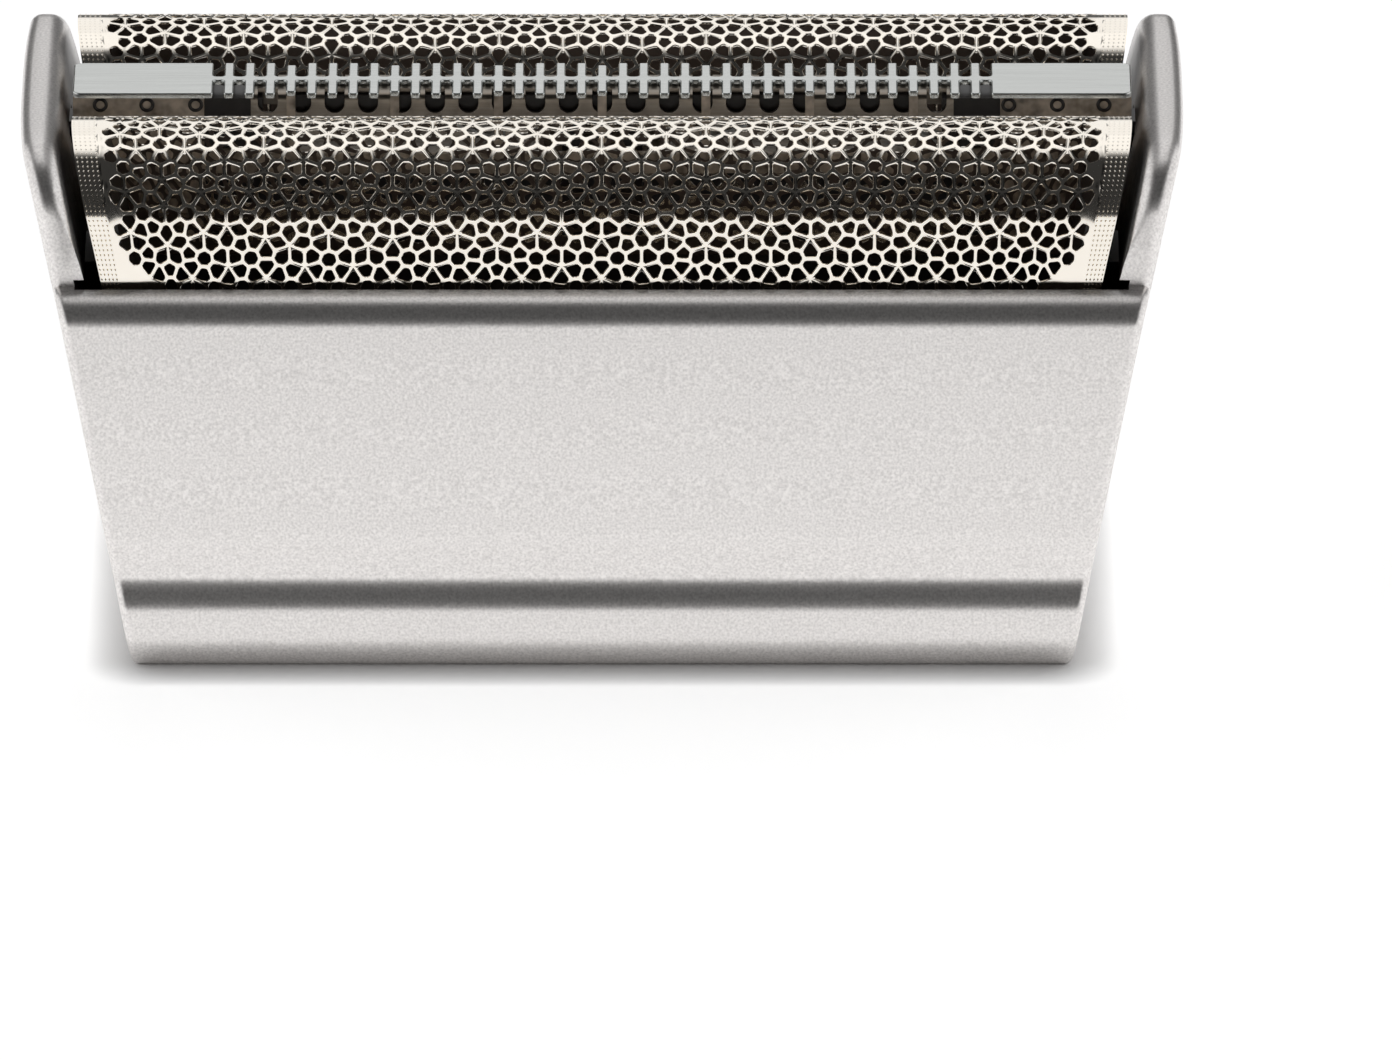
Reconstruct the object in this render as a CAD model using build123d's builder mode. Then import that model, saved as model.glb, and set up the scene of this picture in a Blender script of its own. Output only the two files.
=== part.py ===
"""Shaver foil head: a silver foil frame, two floating foils and a sprung long-hair trimmer between them.

Millimetres. X runs along the foils, the front faces -Y, and Z points up from the bottom rim.
"""

import os
from math import asin, cos, degrees, pi, radians, sin, sqrt, tan

from build123d import *

# Foil frame
rim_width = 44.4  # across the end walls at the bottom rim
end_lean = 12.2  # degrees that an end wall leans outwards going up
end_wall = 1.45  # end wall and cheek, along X
cheek_height = 24.75
cheek_lean = 8.6  # degrees that a cheek's front and rear edges slope
cheek_corner = 2.9
cheek_bevel = 0.2  # inner edges of the cheeks
edge_bevel = 0.5  # outer edges of the end walls
shoulder_drop = 6.2  # from the top of the cheeks to the front and rear walls
shoulder_round = 1.45
wall = 1.6  # front and rear wall just under the shoulder
wall_lean = 2.5  # degrees that these walls spread going down
foil_wall_gap = 0.21  # between a foil unit and the wall beside it
step_height = 6.65  # middle of the soft inward step low on the walls
step_length = 1.1
step_in = 0.22
belly_height = 5.7  # where the wall starts to roll under into the groove
belly_round = 2.4
lip_proud = 0.4  # lip under the groove, past the top of the wall
lip_height = 3.75
lip_round = 0.6
rim_round = 2.35
rim_flat = 0.8  # flat ring that the head stands on

# Foils
foil_spacing = 14.1  # between the two foil axes
foil_radius = 3.9  # outside of the crown
foil_rise = 0.42  # crest above the cheeks
foil_sheet = 0.15
foil_flank_lean = 6.5  # degrees that the flanks spread going down
foil_flank_drop = 6.57  # from the crown's axis to the lower edges
foil_end_gap = 1.0  # from a foil's end to the cheek
foil_band = 1.9  # plain band at each end of the sheet
foil_travel = 0.8
cell_length = 4.7  # long six-sided cells, pointed at both ends
cell_height = 2.15
cell_point = 1.2
cell_bar = 0.45
cell_rows = 7

# Foil carriers
carrier_slack = 0.05  # between the carrier and the sheet over it
carrier_foot = 0.55  # below the edge of the sheet
carrier_end_inset = 0.3  # from the sheet's end to the end plate
carrier_end = 1.3  # end plate, along X
rail = 1.1
rail_height = 2.75
peg_length = 1.6
peg_height = 0.7
peg_rise = 1.0  # middle of the pegs above the edge of the sheet
peg_proud = 0.1
peg_slack = 0.05
peg_pitch = 9.0
peg_count = 5
tongue_width = 2.4
tongue_height = 3.05
tongue_reach = 1.0
tongue_slack = 0.2
guide_rib = 0.7
guide_depth = 1.0

# Inner frame
ring_height = 5.6
ring_slack = 0.1
ring_side = 1.3
ring_end = 2.1
rest_gap = 0.05  # under a foil carrier at rest
seat_spacing = 24.0  # between the two seats and snaps along a wall
seat_length = 3.0
seat_height = 3.0
seat_reach = 0.8
snap_length = 2.4
snap_height = 1.0
snap_reach = 0.45
snap_slack = 0.1
column_width = 3.4
column_rise = 1.1  # spring columns above the ring

# Trimmer combs
trimmer_travel = 1.2
trimmer_end_gap = 0.9  # from the comb's end to the cheek
comb_width = 4.2
comb_sheet = 0.25
comb_plate = 6.5  # plain plate at each end of the comb
comb_corner = 0.3
comb_pitch = 0.98
comb_slot = 0.52
comb_spine = 0.34
short_tooth_step = 5  # every fifth tooth is short and stands on a post
short_tooth_cut = 0.3
blade_end_gap = 0.3  # to the holder's end blocks at the end of a stroke
blade_width = 2.9
blade_sheet = 0.25
blade_drop = 1.5
blade_slack = 0.03
blade_stroke = 0.9  # to each side of the middle
notch_pitch = 1.58
notch_width = 0.95
notch_drop = 0.75
notch_spine = 1.3

# Trimmer holder
block_inset = 1.1  # end block, in from the comb's end
block_length = 5.3
block_height = 6.15
holder_width = 3.5
floor_drop = 3.15  # from the comb to the holder's floor
floor_depth = 1.0
floor_slot_slack = 0.4
tooth_post_length = 0.42
tooth_post_width = 0.2
prong_inset = 0.2
prong_height = 2.75
guide_width = 1.8  # the frame's guide between the prongs
guide_inset = 0.45
guide_slack = 0.15
guide_drop = 1.85
guide_height = 2.3
leg = 0.8
leg_width = 2.0
leg_set = 1.2  # from the end block's inner face to the spring column
leg_gap = 0.3  # between a leg and the spring column
hook_drop = 0.7  # below the top of the ring
hook_height = 0.8
hook_reach = 0.5
hook_slack = 0.05

# Trimmer driver and springs
driver_inset = 2.6
driver_width = 2.0
driver_height = 1.0
fork_gap = 1.8
fork_prong = 1.0
fork_drop = 7.55
leaf_inset = 2.8
leaf_length = 11.4
leaf_width = 1.4
leaf_sheet = 0.2
leaf_slack = 0.05
lift_inset = 0.4
lift_length = 3.0
lift_width = 2.2
lift_sheet = 0.2
lift_folds = 4

# Catch ribs for the shaver body
catch_width = 10.0
catch_height = 3.4
catch_ramp = 1.8
catch_reach = 0.7

# Overlap that roots a rib or tongue in the wall it stands on
root = 0.3

# Heights, all from the top of the cheeks
shoulder_height = cheek_height - shoulder_drop
crest_height = cheek_height + foil_rise
foil_axis_height = crest_height - foil_radius
foil_edge_height = foil_axis_height - foil_flank_drop
carrier_bottom = foil_edge_height - carrier_foot
rail_top = carrier_bottom + rail_height
peg_center = foil_edge_height + peg_rise
tongue_top = carrier_bottom + tongue_height
ring_top = carrier_bottom - rest_gap
ring_bottom = ring_top - ring_height
ring_middle = (ring_bottom + ring_top) / 2
column_top = ring_top + column_rise
trimmer_top = cheek_height
comb_under = trimmer_top - comb_sheet
blade_top = comb_under - blade_slack
block_bottom = trimmer_top - block_height
floor_top = trimmer_top - floor_drop
prong_bottom = trimmer_top - prong_height
guide_top = trimmer_top - guide_drop
guide_bottom = guide_top - guide_height
hook_top = ring_top - hook_drop
hook_bottom = hook_top - hook_height
driver_top = blade_top - blade_sheet
driver_bottom = driver_top - driver_height
fork_bottom = trimmer_top - fork_drop

lean = tan(radians(end_lean))
flank = radians(foil_flank_lean)


def end_half(inset, height):
    """Half the width of the tapered front view at a height, drawn in by an inset."""
    return rim_width / 2 - inset + height * lean


def end_outline(inset, low, high):
    """Corners of the tapered front view between two heights, drawn in by an inset."""
    return [
        (-end_half(inset, low), low),
        (end_half(inset, low), low),
        (end_half(inset, high), high),
        (-end_half(inset, high), high),
    ]


def end_strip(near, far, low, high):
    """Corners of a strip along the right end wall, between two insets and two heights."""
    return [
        (end_half(far, low), low),
        (end_half(near, low), low),
        (end_half(near, high), high),
        (end_half(far, high), high),
    ]


def flank_half(radius, height):
    """Distance of a foil's flank from its axis plane at a height, for a crown radius."""
    tangent_height = foil_axis_height + radius * sin(flank)
    return radius * cos(flank) + (tangent_height - height) * tan(flank)


def cell_plane(axis_y, distance):
    """Plane that touches the sheet a distance down from the crest, measured along the sheet."""
    middle = foil_radius - foil_sheet / 2
    side = 1 if distance >= 0 else -1
    turn = min(abs(distance) / middle, pi / 2 - flank)
    down = abs(distance) - turn * middle
    out = middle * sin(turn) + down * sin(flank)
    rise = middle * cos(turn) - down * cos(flank)
    return Plane(
        origin=(0, axis_y + side * out, foil_axis_height + rise),
        x_dir=(1, 0, 0),
        z_dir=(0, side * sin(turn), cos(turn)),
    )


# Depths from the foils outwards, and lengths from the end walls inwards
reach = rim_width  # longer than the head, for cuts right through it
foil_offset = foil_spacing / 2
foil_inner = foil_radius - foil_sheet
wall_inner = foil_offset + flank_half(foil_radius, carrier_bottom) + foil_wall_gap
shoulder_half = wall_inner + wall
lip_half = shoulder_half + lip_proud
ring_half = wall_inner - ring_slack
foil_inset = end_wall + foil_end_gap
carrier_inset = foil_inset + carrier_end_inset
ring_inset = end_wall + ring_slack
trimmer_half = end_half(end_wall + trimmer_end_gap, trimmer_top)
prong_end = trimmer_half - prong_inset
guide_face = trimmer_half - guide_inset
block_end = trimmer_half - block_inset
block_inside = block_end - block_length
column_inside = block_inside + leg_set
lift_inside = column_inside + lift_inset
lift_outside = lift_inside + lift_length
blade_length = 2 * (block_inside - blade_stroke - blade_end_gap)
driver_length = blade_length - 2 * driver_inset
leaf_outside = block_inside - leaf_inset
leaf_inside = leaf_outside - leaf_length
comb_slots = int(2 * (trimmer_half - comb_plate) // comb_pitch)
notch_count = int(blade_length // notch_pitch)
short_pitch = comb_pitch * short_tooth_step
short_count = comb_slots // short_tooth_step

# Outer frame: the section through the walls, tapered at the ends and hollowed out
rim_start = wall_inner + rim_flat
rim_rise = sqrt(rim_round**2 - (rim_round - lip_half + rim_start) ** 2)
rim_angle = degrees(asin(rim_rise / rim_round))
belly_angle = degrees(asin((belly_height - lip_height) / belly_round))
step_top = step_height + step_length / 2
step_bottom = step_height - step_length / 2
cheek_foot = shoulder_half - shoulder_round
cheek_crest = cheek_foot - (cheek_height - shoulder_height) * tan(radians(cheek_lean))
guide_half = tongue_width / 2 + tongue_slack
stop_bottom = tongue_top + foil_travel + tongue_slack
above = cheek_height + end_wall  # past the top of the cheeks

with BuildPart() as outer_frame:
    with BuildSketch(Plane.YZ):
        with BuildLine():
            shoulder_center = (cheek_foot, shoulder_height - shoulder_round)
            shoulder_arc = CenterArc(shoulder_center, shoulder_round, wall_lean, 90 - wall_lean)
            wall_drop = (shoulder_arc @ 0).Y - step_top
            wall_foot = (shoulder_arc @ 0).X + wall_drop * tan(radians(wall_lean))
            band_half = wall_foot - step_in
            Line(shoulder_arc @ 0, (wall_foot, step_top))
            Bezier(
                (wall_foot, step_top),
                (wall_foot, step_height),
                (band_half, step_height),
                (band_half, step_bottom),
            )
            belly_center = (band_half - belly_round, belly_height)
            belly_arc = CenterArc(belly_center, belly_round, -belly_angle, belly_angle)
            Line((band_half, step_bottom), belly_arc @ 1)
            lip_center = (lip_half - lip_round, lip_height - lip_round)
            lip_arc = CenterArc(lip_center, lip_round, 0, 90)
            Line(lip_arc @ 1, belly_arc @ 0)
            rim_arc = CenterArc((lip_half - rim_round, rim_rise), rim_round, -rim_angle, rim_angle)
            Line(rim_arc @ 1, lip_arc @ 0)
            Line((0, 0), rim_arc @ 0)
            FilletPolyline(
                shoulder_arc @ 1,
                (cheek_crest, cheek_height),
                (0, cheek_height),
                radius=cheek_corner,
            )
            mirror(about=Plane.YZ)
        make_face()
    extrude(amount=reach, both=True)
    with BuildSketch(Plane.XZ):
        Polygon(*end_outline(0, 0, above))
    extrude(amount=reach, both=True, mode=Mode.INTERSECT)
    end_faces = outer_frame.faces().sort_by(Axis.X)
    end_edges = end_faces[0].edges() + end_faces[-1].edges()
    chamfer([edge for edge in end_edges if edge.center().Z > belly_height], length=edge_bevel)

    # Open space above the shoulders between the cheeks, then the hollow between the walls
    with BuildSketch(Plane.XZ):
        Polygon(*end_outline(end_wall, shoulder_height, above))
    extrude(amount=reach, both=True, mode=Mode.SUBTRACT)
    cheek_faces = [
        face
        for face in outer_frame.faces().filter_by(GeomType.PLANE)
        if abs(abs(face.center().X) - end_half(end_wall, face.center().Z)) < cheek_bevel
        and face.center().Z > shoulder_height
    ]
    cheek_edges = [
        edge
        for face in cheek_faces
        for edge in face.edges()
        if edge.center().Z > shoulder_height + cheek_bevel
    ]
    chamfer(cheek_edges, length=cheek_bevel)
    with BuildSketch(Plane.XZ):
        Polygon(*end_outline(end_wall, -end_wall, shoulder_height))
    extrude(amount=wall_inner, both=True, mode=Mode.SUBTRACT)

    # Seats under the inner frame, and the pockets that its snaps click into
    with BuildSketch(Plane.XY.offset(ring_bottom - seat_height)):
        with GridLocations(seat_spacing, 2 * wall_inner - seat_reach + root, 2, 2):
            Rectangle(seat_length, seat_reach + root)
    extrude(amount=seat_height)
    with BuildSketch(Plane.XY.offset(ring_middle - snap_height / 2 - snap_slack)):
        with GridLocations(seat_spacing, 2 * wall_inner, 2, 2):
            Rectangle(snap_length + 2 * snap_slack, 2 * (snap_reach + snap_slack))
    extrude(amount=snap_height + 2 * snap_slack, mode=Mode.SUBTRACT)

    # Channels for the carriers' tongues, closed above by stops
    for axis_y in (-foil_offset, foil_offset):
        for rib_side in (axis_y - guide_half, axis_y + guide_half + guide_rib):
            with BuildSketch(Plane.XZ.offset(-rib_side)):
                Polygon(*end_strip(end_wall - root, end_wall + guide_depth, ring_top + root, stop_bottom))
                mirror(about=Plane.YZ)
            extrude(amount=guide_rib)
        with BuildSketch(Plane.XZ.offset(-axis_y)):
            stop_top = stop_bottom + guide_rib
            Polygon(*end_strip(end_wall - root, end_wall + guide_depth, stop_bottom, stop_top))
            mirror(about=Plane.YZ)
        extrude(amount=guide_half + guide_rib, both=True)

    # Upright guides for the trimmer's ends
    with BuildSketch(Plane.XZ):
        Polygon(
            (guide_face, guide_bottom),
            (end_half(end_wall - root, guide_bottom), guide_bottom),
            (end_half(end_wall - root, guide_top), guide_top),
            (guide_face, guide_top),
        )
        mirror(about=Plane.YZ)
    extrude(amount=guide_width / 2, both=True)

    # Catch ribs low on the end walls
    with BuildSketch(Plane.XZ):
        Polygon(
            (end_half(end_wall - root, catch_height - catch_ramp), catch_height - catch_ramp),
            (end_half(end_wall - root, catch_height), catch_height),
            (end_half(end_wall + catch_reach, catch_height), catch_height),
            (end_half(end_wall, catch_height - catch_ramp), catch_height - catch_ramp),
        )
        mirror(about=Plane.YZ)
    extrude(amount=catch_width / 2, both=True)
outer_frame.part.label = "outer_frame"

# Inner frame: a tapered ring with a sprung column at each end
with BuildPart() as inner_frame:
    with BuildSketch(Plane.XZ):
        Polygon(*end_outline(ring_inset, ring_bottom, ring_top))
    extrude(amount=ring_half, both=True)
    with BuildSketch(Plane.XZ):
        Polygon(*end_outline(ring_inset + ring_end, ring_bottom, ring_top))
    extrude(amount=ring_half - ring_side, both=True, mode=Mode.SUBTRACT)
    with BuildSketch(Plane.XY.offset(ring_middle - snap_height / 2)):
        with GridLocations(seat_spacing, 2 * ring_half, 2, 2):
            Rectangle(snap_length, 2 * snap_reach)
    extrude(amount=snap_height)

    # Columns that carry the springs, notched for the trimmer's hooks
    with BuildSketch(Plane.XZ):
        Polygon(
            (column_inside, ring_bottom),
            (end_half(ring_inset, ring_bottom), ring_bottom),
            (end_half(ring_inset, column_top), column_top),
            (column_inside, column_top),
        )
        mirror(about=Plane.YZ)
    extrude(amount=column_width / 2, both=True)
    notch_low = hook_bottom - trimmer_travel - hook_slack
    with BuildSketch(Plane.XZ):
        with Locations((column_inside, notch_low), (-column_inside, notch_low)):
            Rectangle(
                2 * (hook_reach + leg_gap),
                hook_top + hook_slack - notch_low,
                align=(Align.CENTER, Align.MIN),
            )
    extrude(amount=leg_width / 2 + leg_gap, both=True, mode=Mode.SUBTRACT)
inner_frame.part.label = "inner_frame"

pieces = [outer_frame.part, inner_frame.part]

# Foils and their carriers, front and rear alike
row_pitch = cell_height + cell_bar
column_pitch = cell_length + cell_bar
cell_outline = [
    (-cell_length / 2, 0),
    (cell_point - cell_length / 2, -cell_height / 2),
    (cell_length / 2 - cell_point, -cell_height / 2),
    (cell_length / 2, 0),
    (cell_length / 2 - cell_point, cell_height / 2),
    (cell_point - cell_length / 2, cell_height / 2),
]
carrier_radius = foil_inner - carrier_slack
rail_inner = flank_half(carrier_radius, rail_top) - rail

for name, axis_y in (("front", -foil_offset), ("rear", foil_offset)):
    with BuildPart() as foil:
        with BuildSketch(Plane.YZ):
            with BuildLine():
                feet = []
                for radius in (foil_radius, foil_inner):
                    crown = CenterArc(
                        (axis_y, foil_axis_height), radius, foil_flank_lean, 180 - 2 * foil_flank_lean
                    )
                    half = flank_half(radius, foil_edge_height)
                    Line(crown @ 0, (axis_y + half, foil_edge_height))
                    Line(crown @ 1, (axis_y - half, foil_edge_height))
                    feet.append(half)
                for side in (-1, 1):
                    Line(
                        (axis_y + side * feet[0], foil_edge_height),
                        (axis_y + side * feet[1], foil_edge_height),
                    )
            make_face()
        extrude(amount=reach, both=True)
        with BuildSketch(Plane.XZ):
            Polygon(*end_outline(foil_inset, foil_edge_height, crest_height))
        extrude(amount=reach, both=True, mode=Mode.INTERSECT)

        # Rows of six-sided cells, each row set half a cell along from the next
        for row in range(cell_rows):
            row_plane = cell_plane(axis_y, (row - (cell_rows - 1) / 2) * row_pitch)
            row_length = 2 * (end_half(foil_inset, row_plane.origin.Z) - foil_band)
            cells = int(row_length // column_pitch)
            if cells % 2 != row % 2:
                cells -= 1
            with BuildSketch(row_plane.offset(-cell_height)):
                with GridLocations(column_pitch, 0, cells, 1):
                    Polygon(*cell_outline)
            extrude(amount=2 * cell_height, mode=Mode.SUBTRACT)

        # Windows that the carrier's pegs hook into
        with BuildSketch(Plane.XZ.offset(-axis_y)):
            with Locations((0, peg_center)):
                with GridLocations(peg_pitch, 0, peg_count, 1):
                    Rectangle(peg_length + 2 * peg_slack, peg_height + 2 * peg_slack)
        extrude(amount=foil_spacing / 2, both=True, mode=Mode.SUBTRACT)
    foil.part.label = f"{name}_foil"
    pieces.append(foil.part)

    with BuildPart() as carrier:
        with BuildSketch(Plane.YZ):
            with BuildLine():
                crown = CenterArc(
                    (axis_y, foil_axis_height),
                    carrier_radius,
                    foil_flank_lean,
                    180 - 2 * foil_flank_lean,
                )
                half = flank_half(carrier_radius, carrier_bottom)
                Polyline(
                    crown @ 0,
                    (axis_y + half, carrier_bottom),
                    (axis_y - half, carrier_bottom),
                    crown @ 1,
                )
            make_face()
        extrude(amount=reach, both=True)
        with BuildSketch(Plane.XZ):
            Polygon(*end_outline(carrier_inset, carrier_bottom, crest_height))
        extrude(amount=reach, both=True, mode=Mode.INTERSECT)
        with BuildSketch(Plane.XZ.offset(-axis_y)):
            Polygon(*end_outline(carrier_inset + carrier_end, rail_top, crest_height))
        extrude(amount=foil_spacing / 2, both=True, mode=Mode.SUBTRACT)
        with BuildSketch(Plane.XZ.offset(-axis_y)):
            Polygon(*end_outline(carrier_inset + carrier_end, carrier_bottom, rail_top))
        extrude(amount=rail_inner, both=True, mode=Mode.SUBTRACT)

        # Tongues at the ends, and pegs through the windows of the sheet
        with BuildSketch(Plane.XZ.offset(-axis_y)):
            tongue_inset = carrier_inset - tongue_reach
            Polygon(*end_strip(tongue_inset, carrier_inset + root, carrier_bottom + root, tongue_top))
            mirror(about=Plane.YZ)
        extrude(amount=tongue_width / 2, both=True)
        peg_half = flank_half(foil_radius, peg_center) + peg_proud
        for side in (-1, 1):
            with BuildSketch(Plane.XZ.offset(-axis_y - side * (rail_inner + rail / 2))):
                with Locations((0, peg_center)):
                    with GridLocations(peg_pitch, 0, peg_count, 1):
                        Rectangle(peg_length, peg_height)
            extrude(amount=-side * (peg_half - rail_inner - rail / 2))
    carrier.part.label = f"{name}_foil_carrier"
    pieces.append(carrier.part)

# Fixed comb of the trimmer: a plate slotted from both sides
slot_length = (comb_width - comb_spine) / 2

with BuildPart() as trimmer_comb:
    with BuildSketch(Plane.XY.offset(trimmer_top)):
        RectangleRounded(2 * trimmer_half, comb_width, comb_corner)
        with GridLocations(comb_pitch, comb_spine + slot_length, comb_slots, 2):
            Rectangle(comb_slot, slot_length, mode=Mode.SUBTRACT)
        with GridLocations(short_pitch, comb_width - short_tooth_cut, short_count, 2):
            Rectangle(comb_pitch, short_tooth_cut, mode=Mode.SUBTRACT)
    extrude(amount=-comb_sheet)
trimmer_comb.part.label = "trimmer_comb"

# Moving comb: a narrower channel under the fixed comb, notched along both shoulders
notch_length = (blade_width - notch_spine) / 2

with BuildPart() as trimmer_blade:
    with BuildSketch(Plane.YZ):
        with Locations((0, blade_top)):
            Rectangle(blade_width, blade_drop, align=(Align.CENTER, Align.MAX))
        with Locations((0, driver_top)):
            Rectangle(
                blade_width - 2 * blade_sheet,
                blade_drop,
                align=(Align.CENTER, Align.MAX),
                mode=Mode.SUBTRACT,
            )
    extrude(amount=blade_length / 2, both=True)
    with BuildSketch(Plane.XY.offset(blade_top)):
        with GridLocations(notch_pitch, notch_spine + notch_length, notch_count, 2):
            Rectangle(notch_width, notch_length)
    extrude(amount=-notch_drop, mode=Mode.SUBTRACT)
trimmer_blade.part.label = "trimmer_blade"

# Holder: two end blocks joined by a slotted floor, with posts up to the comb's short teeth
fork_half = fork_gap / 2 + fork_prong
prong_inside = guide_width / 2 + guide_slack
leg_outside = column_inside - leg_gap

with BuildPart() as trimmer_holder:
    with BuildSketch(Plane.XY.offset(block_bottom)):
        with GridLocations(block_inside + block_end, 0, 2, 1):
            Rectangle(block_end - block_inside, holder_width)
    extrude(amount=comb_under - block_bottom)
    with BuildSketch(Plane.XY.offset(floor_top)):
        Rectangle(2 * (block_inside + root), holder_width)
        Rectangle(
            2 * (fork_half + blade_stroke + floor_slot_slack),
            driver_width + 2 * floor_slot_slack,
            mode=Mode.SUBTRACT,
        )
    extrude(amount=-floor_depth)
    with BuildSketch(Plane.XY.offset(floor_top)):
        with GridLocations(short_pitch, holder_width - tooth_post_width, short_count, 2):
            Rectangle(tooth_post_length, tooth_post_width)
    extrude(amount=comb_under - floor_top)

    # Prongs that straddle the frame's guides
    with BuildSketch(Plane.XY.offset(prong_bottom)):
        with GridLocations(prong_end + block_end - root, prong_inside + holder_width / 2, 2, 2):
            Rectangle(prong_end - block_end + root, holder_width / 2 - prong_inside)
    extrude(amount=comb_under - prong_bottom)

    # Barbed legs that keep the trimmer in
    with BuildSketch(Plane.XZ):
        Polygon(
            (leg_outside - leg, block_bottom + root),
            (leg_outside - leg, hook_bottom),
            (leg_outside, hook_bottom),
            (column_inside + hook_reach, hook_top),
            (leg_outside, hook_top),
            (leg_outside, block_bottom + root),
        )
        mirror(about=Plane.YZ)
    extrude(amount=leg_width / 2, both=True)
trimmer_holder.part.label = "trimmer_holder"

# Driver: a bar inside the moving comb with a fork that reaches down to the cutters' drive
with BuildPart() as trimmer_driver:
    with BuildSketch(Plane.XY.offset(driver_top)):
        Rectangle(driver_length, driver_width)
    extrude(amount=-driver_height)
    with BuildSketch(Plane.XY.offset(driver_bottom)):
        with GridLocations(fork_gap + fork_prong, 0, 2, 1):
            Rectangle(fork_prong, driver_width)
    extrude(amount=fork_bottom - driver_bottom)
trimmer_driver.part.label = "trimmer_driver"

pieces += [trimmer_comb.part, trimmer_blade.part, trimmer_holder.part, trimmer_driver.part]

# Leaf springs under the driver and folded springs that lift the holder's end blocks
leaf_crest = driver_bottom - leaf_slack
leaf_middle = (leaf_inside + leaf_outside) / 2
fold_height = (block_bottom - column_top - lift_sheet) / lift_folds

for name, side in (("left", -1), ("right", 1)):
    with BuildPart() as leaf:
        with BuildSketch(Plane.XZ):
            with BuildLine():
                upper = ThreePointArc(
                    (side * leaf_inside, floor_top + leaf_sheet),
                    (side * leaf_middle, leaf_crest),
                    (side * leaf_outside, floor_top + leaf_sheet),
                )
                lower = ThreePointArc(
                    (side * leaf_inside, floor_top),
                    (side * leaf_middle, leaf_crest - leaf_sheet),
                    (side * leaf_outside, floor_top),
                )
                Line(upper @ 0, lower @ 0)
                Line(upper @ 1, lower @ 1)
            make_face()
        extrude(amount=leaf_width / 2, both=True)
    leaf.part.label = f"blade_leaf_{name}"
    pieces.append(leaf.part)

    with BuildPart() as spring:
        with BuildSketch(Plane.XZ):
            folds = [
                (side * (lift_outside, lift_inside)[fold % 2], column_top + fold * fold_height)
                for fold in range(lift_folds + 1)
            ]
            for (low_x, low_z), (high_x, high_z) in zip(folds, folds[1:]):
                Polygon(
                    (low_x, low_z),
                    (high_x, high_z),
                    (high_x, high_z + lift_sheet),
                    (low_x, low_z + lift_sheet),
                )
        extrude(amount=lift_width / 2, both=True)
    spring.part.label = f"trimmer_spring_{name}"
    pieces.append(spring.part)

os.makedirs("parts", exist_ok=True)
for piece in pieces:
    export_step(piece, f"parts/{piece.label}.step")
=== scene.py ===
"""Visual model of a shaver foil head: silver frame, two perforated foils and a long-hair trimmer between them."""

import logging
import math
from contextlib import contextmanager
from dataclasses import dataclass, field
from enum import Enum
from itertools import combinations
from typing import Iterator, Sequence, Union

import bmesh
import bpy
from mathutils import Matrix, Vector


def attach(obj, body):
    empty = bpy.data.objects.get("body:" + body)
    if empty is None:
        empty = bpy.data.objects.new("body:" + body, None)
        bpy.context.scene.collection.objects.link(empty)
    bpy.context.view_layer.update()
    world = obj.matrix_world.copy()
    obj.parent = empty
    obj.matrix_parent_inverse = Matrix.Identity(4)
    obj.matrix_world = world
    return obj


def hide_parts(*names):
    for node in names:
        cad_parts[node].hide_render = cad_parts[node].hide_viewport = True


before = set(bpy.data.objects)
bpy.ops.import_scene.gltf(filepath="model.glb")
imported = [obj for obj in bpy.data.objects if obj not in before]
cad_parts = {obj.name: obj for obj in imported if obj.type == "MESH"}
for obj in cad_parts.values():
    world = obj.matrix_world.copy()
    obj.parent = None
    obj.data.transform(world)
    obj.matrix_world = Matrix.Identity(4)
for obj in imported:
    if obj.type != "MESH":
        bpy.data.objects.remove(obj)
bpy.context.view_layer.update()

log = logging.getLogger("shaver_foil_head")

MM = 0.001
SHARP = 40.0  # degrees above which an edge stays sharp
WELD = 1e-8  # metres within which two corners are one
ON_LINE = 1e-6  # millimetres within which a corner lies on a line
MITRE = 0.3  # least divisor where an outline turns back sharply
OUTSIDE, INSIDE, SHADE_FLOOR = range(3)  # material slots of a foil: outer face, lower side in a dark painted shade, dark painted-shade floor

Point = tuple[float, float, float]
Flat = tuple[float, float]
Part = tuple[list[Point], list[list[int]]]
Ring = Sequence[tuple[Flat, float]]
Feed = Union[bpy.types.NodeSocket, float, tuple]


class Body(str, Enum):
    """CAD bodies that a piece can ride on."""

    FRAME = "frame"
    FRONT_FOIL = "front_foil_unit"
    REAR_FOIL = "rear_foil_unit"
    TRIMMER = "trimmer"
    CUTTER_COMB = "cutter_comb"


class Slot(str, Enum):
    """Material slots of the record, named for the built pieces."""

    SILVER = "silver_paint"
    DARK = "dark_plastic"
    FOIL = "foil_steel"
    COMB = "comb_steel"


class Effect(str, Enum):
    """Shared node groups that mottle a finish."""

    SPECKLE = "fine_speckle"
    BRUSH = "brush_lines"


Groups = dict[Effect, bpy.types.NodeTree]


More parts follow.
